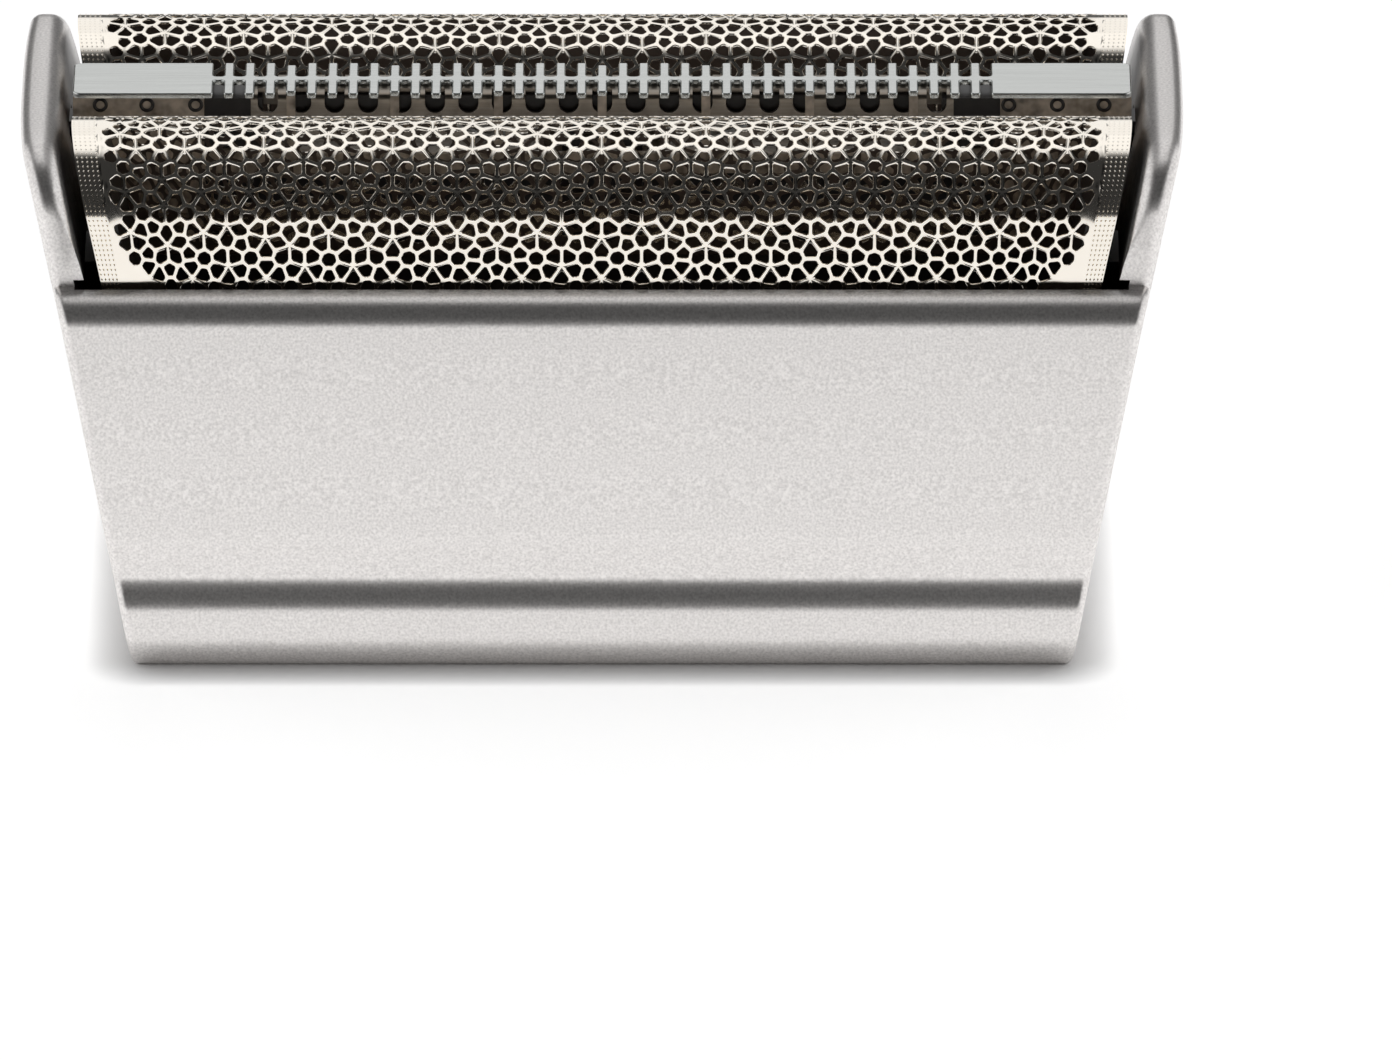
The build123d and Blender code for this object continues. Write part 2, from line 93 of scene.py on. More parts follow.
class Tree:
    """Adds and links the nodes of one shader tree."""

    def __init__(self, tree: bpy.types.NodeTree) -> None:
        """Start from an empty tree."""
        self.tree = tree
        tree.nodes.clear()

    def add(
        self, kind: str, sockets: dict[Union[str, int], Feed] | None = None, **settings: object
    ) -> bpy.types.Node:
        """Add a node.

        Args:
            kind: the node's type name.
            sockets: its inputs, each with a constant or with the output that feeds it.
            settings: properties to set on it first.

        Returns:
            The new node.
        """
        node = self.tree.nodes.new(kind)
        for name, value in settings.items():
            setattr(node, name, value)
        for label, value in (sockets or {}).items():
            if isinstance(value, bpy.types.NodeSocket):
                self.tree.links.new(value, node.inputs[label])
            else:
                node.inputs[label].default_value = value
        return node

    def maths(self, operation: str, *values: Feed, **settings: object) -> bpy.types.NodeSocket:
        """Add a math node on these values and give its output."""
        return self.add("ShaderNodeMath", dict(enumerate(values)), operation=operation, **settings).outputs[0]

    def spread(self, value: Feed, label: str, limits: Flat, **settings: object) -> bpy.types.NodeSocket:
        """Add a range node.

        Args:
            value: what goes in.
            label: From to set the range that goes in, To to set the one that comes out.
            limits: the range's two ends.
            settings: properties to set on the node.

        Returns:
            Its output.
        """
        sockets = {"Value": value, f"{label} Min": limits[0], f"{label} Max": limits[1]}
        return self.add("ShaderNodeMapRange", sockets, **settings).outputs["Result"]

    def mix(self, factor: Feed, first: Feed, second: Feed, **settings: object) -> bpy.types.NodeSocket:
        """Mix two colours and give the result."""
        sockets = {"Factor": factor, "A": first, "B": second}
        return self.add("ShaderNodeMix", sockets, data_type="RGBA", **settings).outputs["Result"]


def opaque(colour: Point) -> tuple[float, float, float, float]:
    """A colour as a socket takes it."""
    return *colour, 1.0


def grey(level: float) -> tuple[float, float, float, float]:
    """An even grey as a socket takes it."""
    return opaque((level, level, level))


def blank_material(name: str) -> tuple[bpy.types.Material, Tree]:
    """Make a material with no nodes yet.

    Args:
        name: its name.

    Returns:
        The material and its tree.
    """
    material = bpy.data.materials.new(name)
    material.use_nodes = True
    return material, Tree(material.node_tree)


def painted(tree: Tree, sockets: dict[str, Feed]) -> None:
    """End a material's tree in a shader with these inputs."""
    shader = tree.add("ShaderNodeBsdfPrincipled", sockets)
    tree.add("ShaderNodeOutputMaterial", {"Surface": shader.outputs["BSDF"]})


def group_tree(effect: Effect, inputs: dict[str, float]) -> tuple[Tree, bpy.types.Node]:
    """Make a shader node group with value inputs and a Mask output.

    Args:
        effect: the effect that it gives.
        inputs: input names with their default values.

    Returns:
        The tree and its input node.
    """
    data = bpy.data.node_groups.new(effect.value, "ShaderNodeTree")
    for label, value in inputs.items():
        socket = data.interface.new_socket(label, in_out="INPUT", socket_type="NodeSocketFloat")
        socket.default_value = value
    data.interface.new_socket("Mask", in_out="OUTPUT", socket_type="NodeSocketFloat")
    tree = Tree(data)
    return tree, tree.add("NodeGroupInput")


def speckle_group() -> bpy.types.NodeTree:
    """Fine speckle for paint flakes, moulded grain and mottling.

    Returns:
        A group with a Scale and a Contrast input, and a Mask output around one half.
    """
    tree, entry = group_tree(Effect.SPECKLE, {"Scale": 6000.0, "Contrast": 1.0})
    place = tree.add("ShaderNodeTexCoord").outputs["Object"]
    sockets = {"Vector": place, "Scale": entry.outputs["Scale"], "Detail": 2.0}
    noise = tree.add("ShaderNodeTexNoise", sockets).outputs["Fac"]
    middle = tree.maths("SUBTRACT", noise, 0.5)
    mask = tree.maths("MULTIPLY_ADD", middle, entry.outputs["Contrast"], 0.5, use_clamp=True)
    tree.add("NodeGroupOutput", {"Mask": mask})
    return tree.tree


def brush_group() -> bpy.types.NodeTree:
    """Straight brush lines along the length of a steel plate.

    Returns:
        A group with a Density input and a Mask output around one half.
    """
    tree, entry = group_tree(Effect.BRUSH, {"Density": 9000.0})
    place = tree.add("ShaderNodeTexCoord").outputs["Object"]
    drawn = tree.add("ShaderNodeMapping", {"Vector": place, "Scale": (0.02, 1.0, 1.0)}).outputs["Vector"]
    sockets = {"Vector": drawn, "Scale": entry.outputs["Density"], "Detail": 3.0}
    noise = tree.add("ShaderNodeTexNoise", sockets).outputs["Fac"]
    tree.add("NodeGroupOutput", {"Mask": noise})
    return tree.tree


@dataclass(frozen=True)
class Finish:
    """A surface finish: two colours mixed by a mask, with gloss and a little relief."""

    name: str
    dark: Point
    light: Point
    metallic: float
    roughness: float
    effect: Effect
    grain: dict[str, float]
    relief: float = 0.0
    relief_depth: float = 0.0
    anisotropy: float = 0.0

    def material(self, groups: Groups) -> bpy.types.Material:
        """Build the material.

        Args:
            groups: the shared node groups.

        Returns:
            The material.
        """
        material, tree = blank_material(self.name)
        mask = tree.add("ShaderNodeGroup", self.grain, node_tree=groups[self.effect]).outputs["Mask"]
        sockets = {
            "Base Color": tree.mix(mask, opaque(self.dark), opaque(self.light)),
            "Metallic": self.metallic,
            "Roughness": self.roughness,
            "Anisotropic": self.anisotropy,
        }
        if self.relief:
            relief = {"Strength": self.relief, "Distance": self.relief_depth, "Height": mask}
            sockets["Normal"] = tree.add("ShaderNodeBump", relief).outputs["Normal"]
        painted(tree, sockets)
        return material


@dataclass(frozen=True)
class FadingFinish:
    """A finish whose upper colour gives way downwards to a darker base, with a ragged edge, in metres."""

    name: str
    base: Finish
    paint: Finish
    heights: Flat
    ragged: float
    grain: dict[str, float]

    def material(self, groups: Groups) -> bpy.types.Material:
        """Build the material.

        Args:
            groups: the shared node groups.

        Returns:
            The material.
        """
        material, tree = blank_material(self.name)
        place = tree.add("ShaderNodeTexCoord").outputs["Object"]
        height = tree.add("ShaderNodeSeparateXYZ", {"Vector": place}).outputs["Z"]
        mask = tree.add("ShaderNodeGroup", self.grain, node_tree=groups[Effect.SPECKLE]).outputs["Mask"]
        uneven = tree.maths("MULTIPLY_ADD", mask, self.ragged, height)
        fade = tree.spread(uneven, "From", self.heights, interpolation_type="SMOOTHSTEP")
        base, paint = self.base, self.paint
        sockets = {
            "Base Color": tree.mix(fade, opaque(base.light), opaque(paint.dark)),
            "Metallic": tree.spread(fade, "To", (base.metallic, paint.metallic)),
            "Roughness": tree.spread(fade, "To", (base.roughness, paint.roughness)),
        }
        painted(tree, sockets)
        return material


SILVER_PAINT = Finish(
    name="silver_flake_paint",
    dark=(0.70, 0.675, 0.66),
    light=(0.98, 0.95, 0.93),
    metallic=0.92,
    roughness=0.34,
    effect=Effect.SPECKLE,
    grain={"Scale": 8000.0, "Contrast": 2.4},
    relief=0.16,
    relief_depth=0.00001,
)
DARK_PLASTIC = Finish(
    name="brown_black_plastic",
    dark=(0.016, 0.012, 0.010),
    light=(0.030, 0.023, 0.019),
    metallic=0.0,
    roughness=0.34,
    effect=Effect.SPECKLE,
    grain={"Scale": 2500.0, "Contrast": 1.0},
    relief=0.1,
    relief_depth=0.00002,
)
FOIL_NICKEL = Finish(
    name="bright_foil_nickel",
    dark=(0.90, 0.84, 0.75),
    light=(0.95, 0.90, 0.82),
    metallic=1.0,
    roughness=0.11,
    effect=Effect.SPECKLE,
    grain={"Scale": 1500.0, "Contrast": 1.0},
)
# Painted shade: the foil's lower side is bright metal in the real head, coloured dark and dull here for the shade
# it lies in.
FOIL_UNDERSIDE_SHADE = Finish(
    name="painted_foil_underside_shade",
    dark=(0.10, 0.068, 0.048),
    light=(0.17, 0.12, 0.088),
    metallic=0.3,
    roughness=0.55,
    effect=Effect.SPECKLE,
    grain={"Scale": 1500.0, "Contrast": 1.0},
)
SATIN_STEEL = Finish(
    name="satin_comb_steel",
    dark=(0.56, 0.575, 0.56),
    light=(0.72, 0.735, 0.72),
    metallic=1.0,
    roughness=0.24,
    effect=Effect.BRUSH,
    grain={"Density": 9000.0},
    relief=0.25,
    relief_depth=0.00001,
    anisotropy=0.3,
)
BLADE_STEEL = Finish(
    name="hardened_blade_steel",
    dark=(0.22, 0.185, 0.15),
    light=(0.36, 0.32, 0.27),
    metallic=1.0,
    roughness=0.30,
    effect=Effect.BRUSH,
    grain={"Density": 7000.0},
    relief=0.15,
    relief_depth=0.00001,
)
SMOKE_PLASTIC = Finish(
    name="smoke_brown_plastic",
    dark=(0.20, 0.158, 0.118),
    light=(0.70, 0.575, 0.455),
    metallic=0.0,
    roughness=0.22,
    effect=Effect.SPECKLE,
    grain={"Scale": 1400.0, "Contrast": 2.2},
    relief=0.12,
    relief_depth=0.00004,
)
SPRING_STEEL = Finish(
    name="plain_spring_steel",
    dark=(0.48, 0.48, 0.47),
    light=(0.62, 0.62, 0.61),
    metallic=1.0,
    roughness=0.30,
    effect=Effect.BRUSH,
    grain={"Density": 5000.0},
    relief=0.1,
    relief_depth=0.00001,
)
# Silver at the top of the cheeks' inner faces, darker towards the bottom.
CHEEK_FADE = FadingFinish(
    name="cheek_inner_fade",
    base=DARK_PLASTIC,
    paint=SILVER_PAINT,
    heights=(0.0195, 0.0245),
    ragged=0.0015,
    grain={"Scale": 1800.0, "Contrast": 1.5},
)


class Finishes:
    """The materials of the head, each built once."""

    def __init__(self) -> None:
        """Build the shared effects and every material."""
        groups = {Effect.SPECKLE: speckle_group(), Effect.BRUSH: brush_group()}
        self.silver = SILVER_PAINT.material(groups)
        self.dark = DARK_PLASTIC.material(groups)
        self.cheek_fade = CHEEK_FADE.material(groups)
        self.foil = FOIL_NICKEL.material(groups)
        self.underside_shade = FOIL_UNDERSIDE_SHADE.material(groups)
        self.steel = SATIN_STEEL.material(groups)
        self.blade = BLADE_STEEL.material(groups)
        self.smoke = SMOKE_PLASTIC.material(groups)
        self.spring = SPRING_STEEL.material(groups)


@contextmanager
def editing(mesh: bpy.types.Mesh) -> Iterator[bmesh.types.BMesh]:
    """Open a mesh for edge and face work, and write it back.

    Args:
        mesh: the mesh.

    Returns:
        The opened mesh, for a with block.
    """
    work = bmesh.new()
    work.from_mesh(mesh)
    yield work
    work.to_mesh(mesh)
    work.free()


def make_object(
    name: str,
    points: Sequence[Point],
    faces: Sequence[Sequence[int]],
    *materials: bpy.types.Material,
    tints: Sequence[int] = (),
) -> bpy.types.Object:
    """Make a mesh object with outward faces.

    Args:
        name: name of the object and its mesh.
        points: corners in metres.
        faces: corner numbers of each face.
        materials: materials of its slots.
        tints: slot of each face, where there is more than one.

    Returns:
        The linked object.
    """
    mesh = bpy.data.meshes.new(name)
    mesh.from_pydata(points, [], faces)
    if tints:
        mesh.polygons.foreach_set("material_index", tints)
    with editing(mesh) as work:
        bmesh.ops.remove_doubles(work, verts=work.verts, dist=WELD)
        bmesh.ops.recalc_face_normals(work, faces=work.faces)
    for material in materials:
        mesh.materials.append(material)
    thing = bpy.data.objects.new(name, mesh)
    bpy.context.scene.collection.objects.link(thing)
    return thing


def smooth(thing: bpy.types.Object, angle: float = SHARP) -> None:
    """Shade an object smooth, with sharp edges above an angle in degrees."""
    thing.data.shade_smooth()
    thing.data.set_sharp_from_angle(angle=math.radians(angle))


def settle(thing: bpy.types.Object) -> None:
    """Turn an object's modifiers into plain mesh.

    Args:
        thing: the object.
    """
    view = bpy.context.evaluated_depsgraph_get()
    mesh = bpy.data.meshes.new_from_object(thing.evaluated_get(view))
    old = thing.data
    name = old.name
    thing.modifiers.clear()
    thing.data = mesh
    bpy.data.meshes.remove(old)
    mesh.name = name


def finish_piece(thing: bpy.types.Object, body: Body, slot: Slot, *nodes: str) -> None:
    """Let a piece ride on its body and stand for its CAD nodes.

    Args:
        thing: the piece.
        body: the body that carries it.
        slot: the record's material slot; not used.
        nodes: CAD nodes that it replaces.
    """
    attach(thing, body.value)
    if nodes:
        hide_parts(*nodes)
    log.info("%s: %d faces on %s", thing.name, len(thing.data.polygons), body.value)


def dress_node(node: str, material: bpy.types.Material) -> None:
    """Give a CAD node a finish.

    Args:
        node: name of the CAD node.
        material: its material.
    """
    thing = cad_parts[node]
    thing.data.materials.clear()
    thing.data.materials.append(material)
    smooth(thing)
    log.info("%s: dressed as %s", node, material.name)


def metres(x: float, y: float, z: float) -> Point:
    """A point given in millimetres."""
    return x * MM, y * MM, z * MM


def row_places(count: int, pitch: float) -> list[float]:
    """Middles of an even row about the centre."""
    return [(index - (count - 1) / 2) * pitch for index in range(count)]


def arc(centre: Flat, radius: float, start: float, end: float, steps: int) -> list[Flat]:
    """Points along an arc.

    Args:
        centre: centre of the arc.
        radius: its radius.
        start: start angle in degrees.
        end: end angle in degrees.
        steps: number of segments.

    Returns:
        The points, both ends included.
    """
    turns = [math.radians(start + (end - start) * step / steps) for step in range(steps + 1)]
    return [(centre[0] + radius * math.cos(turn), centre[1] + radius * math.sin(turn)) for turn in turns]


def inset(outline: Sequence[Flat], depths: Sequence[float]) -> list[Flat]:
    """Draw a closed outline inwards.

    Args:
        outline: corners, anticlockwise.
        depths: how far each corner's two edges move in.

    Returns:
        The moved corners.
    """
    moved = []
    for index, (across, up) in enumerate(outline):
        before, after = outline[index - 1], outline[(index + 1) % len(outline)]
        first = Vector((up - before[1], before[0] - across)).normalized()
        second = Vector((after[1] - up, across - after[0])).normalized()
        shift = (first + second) / max(MITRE, 1.0 + first.dot(second))
        moved.append((across - depths[index] * shift.x, up - depths[index] * shift.y))
    return moved


def clip(outline: Sequence[Flat], normal: Flat, reach: float) -> list[Flat]:
    """Cut an outline with a line and keep the side behind it.

    Args:
        outline: corners of a convex outline.
        normal: direction in which the outline is cut off.
        reach: distance of the line from the origin along that direction.

    Returns:
        The corners that are left.
    """
    kept = []
    over = [normal[0] * x + normal[1] * y - reach for x, y in outline]
    for index, here in enumerate(outline):
        following = (index + 1) % len(outline)
        after = outline[following]
        if over[index] <= 0:
            kept.append(here)
        if over[index] * over[following] < 0:
            share = over[index] / (over[index] - over[following])
            kept.append((here[0] + share * (after[0] - here[0]), here[1] + share * (after[1] - here[1])))
    return kept


def upright(half: float, low: float, high: float) -> list[Flat]:
    """Outline of an upright rectangle, the lower corners first."""
    return [(-half, low), (half, low), (half, high), (-half, high)]


def loft(loops: Sequence[Sequence[Point]], closed: bool = False) -> Part:
    """Join matching outlines into a closed form.

    Args:
        loops: corners of each outline, in order.
        closed: whether the last outline joins the first one, with no end faces.

    Returns:
        Its points and faces.
    """
    count, rows = len(loops[0]), len(loops)
    last = (rows - 1) * count
    faces = [] if closed else [list(range(count)), list(range(last, last + count))]
    for row in range(rows if closed else rows - 1):
        here, there = row * count, (row + 1) % rows * count
        for column in range(count):
            after = (column + 1) % count
            faces.append([here + column, here + after, there + after, there + column])
    return [point for loop in loops for point in loop], faces


def box(along: float, length: float, depths: Flat, low: float, high: float) -> Part:
    """A plain block.

    Args:
        along: X of its middle.
        length: its length along X.
        depths: Y of its two faces.
        low: lower height.
        high: upper height.

    Returns:
        Its points and faces.
    """
    outline = upright(length / 2, low, high)
    return loft([[metres(along + x, y, z) for x, z in outline] for y in depths])


def join(parts: Sequence[Part]) -> Part:
    """Collect separate forms into one mesh.

    Args:
        parts: points and faces of each form.

    Returns:
        All points and faces.
    """
    points: list[Point] = []
    faces: list[list[int]] = []
    for corners, sides in parts:
        start = len(points)
        points += corners
        faces += [[start + corner for corner in side] for side in sides]
    return points, faces


@dataclass
class FoilFrame:
    """The silver housing with its cheeks, dark inside, in millimetres and degrees."""

    rim_width: float = 44.4
    end_lean: float = 12.2
    end_wall: float = 1.45
    cheek_height: float = 24.75
    cheek_lean: float = 3.0
    cheek_back: float = 0.62
    cheek_wall: float = 1.95
    cheek_corner: float = 3.0
    shoulder_drop: float = 6.2
    shoulder_round: float = 1.45
    wall_inner: float = 11.9965
    wall: float = 1.6
    wall_lean: float = 2.44
    band_high: float = 6.6
    band_low: float = 4.75
    band_lean: float = 15.0
    band_round: float = 0.5
    lip_proud: float = 0.42
    lip_high: float = 3.0
    rim_round: float = 2.35
    rim_flat: float = 0.8
    rim_steps: int = 8
    flare_steps: int = 12
    bend_steps: int = 6
    shoulder_steps: int = 14
    corner_steps: int = 16
    edge_rounds: tuple[Flat, ...] = ((0.3, 0.36), (18.6, 0.4))  # height limits and radii
    cheek_round: float = 0.6
    round_steps: int = 6
    inner_round: float = 0.7
    inner_steps: int = 5
    bow_base: float = 0.05
    bow_rise: float = 0.02
    bow_power: int = 3
    bow_depth: float = 12.0
    bow_cuts: int = 11
    bow_margin: float = 0.06
    ring_bottom: float = 8.5
    seat_spacing: float = 24.0
    seat_size: Point = (3.0, 0.8, 3.0)
    snap_size: Point = (2.6, 0.55, 1.2)
    snap_height: float = 11.3
    foil_offset: float = 7.05
    tongue_half: float = 1.4
    rib: float = 0.7
    rib_depth: float = 1.0
    rib_low: float = 14.4
    stop_low: float = 18.2
    guide_half: float = 0.9
    guide_face: float = 24.75
    guide_low: float = 20.6
    guide_high: float = 22.9
    catch_half: float = 5.0
    catch_low: float = 1.6
    catch_high: float = 3.4
    catch_reach: float = 0.7
    slot_half: float = 2.0
    slot_low: float = 20.3
    slot_high: float = 22.7
    root: float = 0.3

    @property
    def shoulder_height(self) -> float:
        """Height of the front and rear walls."""
        return self.cheek_height - self.shoulder_drop

    @property
    def cheek_foot(self) -> float:
        """Depth at which the shoulder's rounding ends."""
        return self.wall_inner + self.wall - self.shoulder_round

    def end_half(self, inset_by: float, height: float) -> float:
        """Half the width of the front view at a height, drawn in by an inset."""
        return self.rim_width / 2 - inset_by + height * math.tan(math.radians(self.end_lean))

    def edge_radius(self, height: float) -> float:
        """Rounding of the end walls' outer edge at a height."""
        return next((radius for limit, radius in self.edge_rounds if height < limit), self.cheek_round)

    def half_outline(self) -> list[Flat]:
        """Section through the walls and cheeks, from the bottom rim up to the top, on the rear side.

        Returns:
            Points as depth and height.
        """
        lip_half = self.wall_inner + self.wall + self.lip_proud
        rim_start = self.wall_inner + self.rim_flat
        rim_rise = math.sqrt(self.rim_round**2 - (self.rim_round - lip_half + rim_start) ** 2)
        rim_turn = math.degrees(math.asin(rim_rise / self.rim_round))
        rim_centre = (lip_half - self.rim_round, rim_rise)
        points = [(rim_start, 0.0)]
        points += arc(rim_centre, self.rim_round, -rim_turn, 0, self.rim_steps)[1:]
        foot = self.cheek_foot
        shoulder_centre = (foot, self.shoulder_height - self.shoulder_round)
        shoulder = arc(shoulder_centre, self.shoulder_round, self.wall_lean, 90, self.shoulder_steps)
        lean, drawn = math.tan(math.radians(self.wall_lean)), math.tan(math.radians(self.band_lean))
        wall_foot = shoulder[0][0] + (shoulder[0][1] - self.band_high) * lean
        band = wall_foot - (self.band_high - self.band_low) * drawn
        for part in range(self.flare_steps + 1):
            share = part / self.flare_steps
            swing = share * share * (3 - 2 * share)
            height = self.lip_high + share * (self.band_low - self.lip_high)
            points.append((lip_half + swing * (band - lip_half), height))
        for part in range(1, self.bend_steps + 1):
            share = part / self.bend_steps
            height = self.band_high + self.band_round * (share - 0.5) * 2
            bend = self.band_round * (1 - share) ** 2 * (drawn + lean)
            points.append((shoulder[0][0] + (shoulder[0][1] - height) * lean - bend, height))
        points += shoulder
        points.append((foot - self.cheek_back, self.shoulder_height))
        tilt = math.radians(self.cheek_lean)
        crest = foot - self.cheek_back - self.shoulder_drop * math.tan(tilt)
        corner = crest + self.cheek_corner * (math.tan(tilt) - 1 / math.cos(tilt))
        corner_centre = (corner, self.cheek_height - self.cheek_corner)
        return points + arc(corner_centre, self.cheek_corner, self.cheek_lean, 90, self.corner_steps)

    def shell(self) -> Part:
        """Solid outer form with rounded end edges, before it is hollowed.

        Returns:
            Its points and faces.
        """
        half = self.half_outline()
        outline = half + [(-depth, height) for depth, height in reversed(half)]
        radii = [self.edge_radius(height) for _, height in outline]
        turns = range(self.round_steps + 1)
        loops = []
        for side, turn in [(-1, turn) for turn in reversed(turns)] + [(1, turn) for turn in turns]:
            angle = math.pi / 2 * turn / self.round_steps
            section = inset(outline, [radius * (1 - math.cos(angle)) for radius in radii])
            backs = [radius * (1 - math.sin(angle)) for radius in radii]
            loop = [
                metres(side * (self.end_half(0, height) - back), depth, height)
                for (depth, height), back in zip(section, backs)
            ]
            loops.append(loop)
        return loft(loops)

    def wedge(self, inset_by: float, low: float, high: float, half: float) -> Part:
        """A block between the leaning end walls.

        Args:
            inset_by: distance in from the outer end faces.
            low: lower height.
            high: upper height.
            half: half its depth.

        Returns:
            Its points and faces.
        """
        lower, upper = self.end_half(inset_by, low), self.end_half(inset_by, high)
        outline = [(-lower, low), (lower, low), (upper, high), (-upper, high)]
        return loft([[metres(x, y, z) for x, z in outline] for y in (-half, half)])

    def wall_blocks(self, length: float, inward: float, outward: float, low: float, high: float) -> list[Part]:
        """Four equal blocks, two on each long wall.

        Args:
            length: their length along X.
            inward: how far they stand in from the wall's inner face.
            outward: how far they reach into the wall.
            low: lower height.
            high: upper height.

        Returns:
            Points and faces of each block.
        """
        depths = (self.wall_inner - inward, self.wall_inner + outward)
        return [
            box(along, length, (side * depths[0], side * depths[1]), low, high)
            for along in (-self.seat_spacing / 2, self.seat_spacing / 2)
            for side in (-1, 1)
        ]

    def rib_on_end(self, side: int, outline: Sequence[Flat], depths: Sequence[float]) -> Part:
        """A rib on the inside of an end wall.

        Args:
            side: -1 for the left wall, 1 for the right one.
            outline: the rib's front view as depth and height.
            depths: how far each corner stands in from the wall.

        Returns:
            Its points and faces.
        """
        loops = [
            [
                metres(side * self.end_half(self.end_wall + reach, z), y, z)
                for (y, z), reach in zip(outline, reaches)
            ]
            for reaches in (depths, [-self.root] * len(outline))
        ]
        return loft(loops)

    def ribs(self) -> Part:
        """Seats, tongue channels, trimmer guides and catch ribs inside the frame.

        Returns:
            Points and faces of all ribs.
        """
        length, reach, height = self.seat_size
        parts = self.wall_blocks(length, reach, self.root, self.ring_bottom - height, self.ring_bottom)
        inner, outer = self.tongue_half, self.tongue_half + self.rib
        low, stop, top = self.rib_low, self.stop_low, self.stop_low + self.rib
        channel = [(-outer, low), (-inner, low), (-inner, stop), (inner, stop)]
        channel += [(inner, low), (outer, low), (outer, top), (-outer, top)]
        guide = upright(self.guide_half, self.guide_low, self.guide_high)
        guide_depths = [self.end_half(self.end_wall, height) - self.guide_face for _, height in guide]
        catch = upright(self.catch_half, self.catch_low, self.catch_high)
        catch_depths = [0.0, 0.0, self.catch_reach, self.catch_reach]
        for side in (-1, 1):
            for axis in (-self.foil_offset, self.foil_offset):
                outline = [(axis + y, z) for y, z in channel]
                parts.append(self.rib_on_end(side, outline, [self.rib_depth] * len(outline)))
            parts.append(self.rib_on_end(side, guide, guide_depths))
            parts.append(self.rib_on_end(side, catch, catch_depths))
        return join(parts)

    def cutters(self, inner: bpy.types.Material, material: bpy.types.Material) -> list[bpy.types.Object]:
        """Blocks that hollow out the frame.

        Args:
            inner: finish of the cheeks' inner faces.
            material: finish of the other cut faces.

        Returns:
            The blocks, to be taken away again.
        """
        past = self.cheek_height + self.end_wall
        upper = self.wedge(self.cheek_wall, self.shoulder_height, past, past)
        slots = self.wedge(self.end_wall, self.slot_low, self.slot_high, self.slot_half)
        lower = self.wedge(
            self.end_wall, -self.end_wall, self.shoulder_height + self.root, self.wall_inner
        )
        length, reach, height = self.snap_size
        low = self.snap_height - height / 2
        pockets = join(self.wall_blocks(length, self.root, reach, low, low + height))
        return [
            make_object("upper_hollow", *upper, inner),
            make_object("trimmer_slots", *slots, material),
            make_object("lower_hollow", *lower, material),
            make_object("snap_pockets", *pockets, material),
        ]

    def round_inside(self, thing: bpy.types.Object) -> None:
        """Round the cheeks' inner edges, where the outer paint meets the inner faces that darken downwards.

        Args:
            thing: the frame, hollowed between its cheeks.
        """
        low = (self.shoulder_height + self.root) * MM
        with editing(thing.data) as work:
            edges = [
                edge
                for edge in work.edges
                if {0, 1} <= {face.material_index for face in edge.link_faces}
                and min(vert.co.z for vert in edge.verts) > low
            ]
            bmesh.ops.bevel(
                work,
                geom=edges,
                offset=self.inner_round * MM,
                segments=self.inner_steps,
                profile=0.5,
                affect="EDGES",
                material=0,
            )

    def bow_ends(self, thing: bpy.types.Object) -> None:
        """Bow the end walls a little.

        Args:
            thing: the hollowed frame.
        """
        with editing(thing.data) as work:
            for index in range(self.bow_cuts):
                depth = self.bow_depth * (2 * (index + 0.5) / self.bow_cuts - 1)
                parts = [*work.verts, *work.edges, *work.faces]
                place = metres(0.0, depth, 0.0)
                bmesh.ops.bisect_plane(work, geom=parts, plane_co=place, plane_no=(0.0, 1.0, 0.0))
            for vert in work.verts:
                height = vert.co.z / MM
                if abs(vert.co.x) / MM > self.end_half(self.cheek_round + self.bow_margin, height):
                    share = abs(vert.co.y / MM / self.bow_depth) ** self.bow_power
                    bow = (self.bow_base + self.bow_rise * height) * share
                    vert.co.x -= math.copysign(bow * MM, vert.co.x)

    def cut(self, thing: bpy.types.Object, helpers: Sequence[bpy.types.Object]) -> None:
        """Take blocks out of the frame, add its ribs, and delete these helpers.

        Args:
            thing: the frame.
            helpers: the blocks and ribs.
        """
        for helper in helpers:
            step = thing.modifiers.new(helper.name, "BOOLEAN")
            step.object = helper
            step.solver = "EXACT"
            step.operation = "UNION" if helper.name == "frame_ribs" else "DIFFERENCE"
            step.material_mode = "TRANSFER"
        settle(thing)
        for helper in helpers:
            mesh = helper.data
            bpy.data.objects.remove(helper)
            bpy.data.meshes.remove(mesh)

    def build(self, finishes: Finishes) -> None:
        """Build the housing in place of the CAD frame.

        Args:
            finishes: the materials.
        """
        materials = [finishes.silver, finishes.cheek_fade, finishes.dark]
        thing = make_object("foil_frame", *self.shell(), *materials)
        helpers = self.cutters(finishes.cheek_fade, finishes.dark)
        helpers.append(make_object("frame_ribs", *self.ribs(), finishes.dark))
        self.cut(thing, helpers[:1])
        self.round_inside(thing)
        self.cut(thing, helpers[1:])
        self.bow_ends(thing)
        smooth(thing)
        finish_piece(thing, Body.FRAME, Slot.SILVER, "outer_frame")
        dress_node("inner_frame", finishes.dark)


@dataclass(frozen=True)
class Cell:
    """One cell of a foil: its middle, its outline, and its hole, which a cell at the border lacks."""

    middle: Flat
    outline: list[Flat]
    hole: list[Flat]


def spot_key(spot: Flat, digits: int = 3) -> Flat:
    """A place rounded off, to tell whether two places are the same."""
    return round(spot[0], digits), round(spot[1], digits)


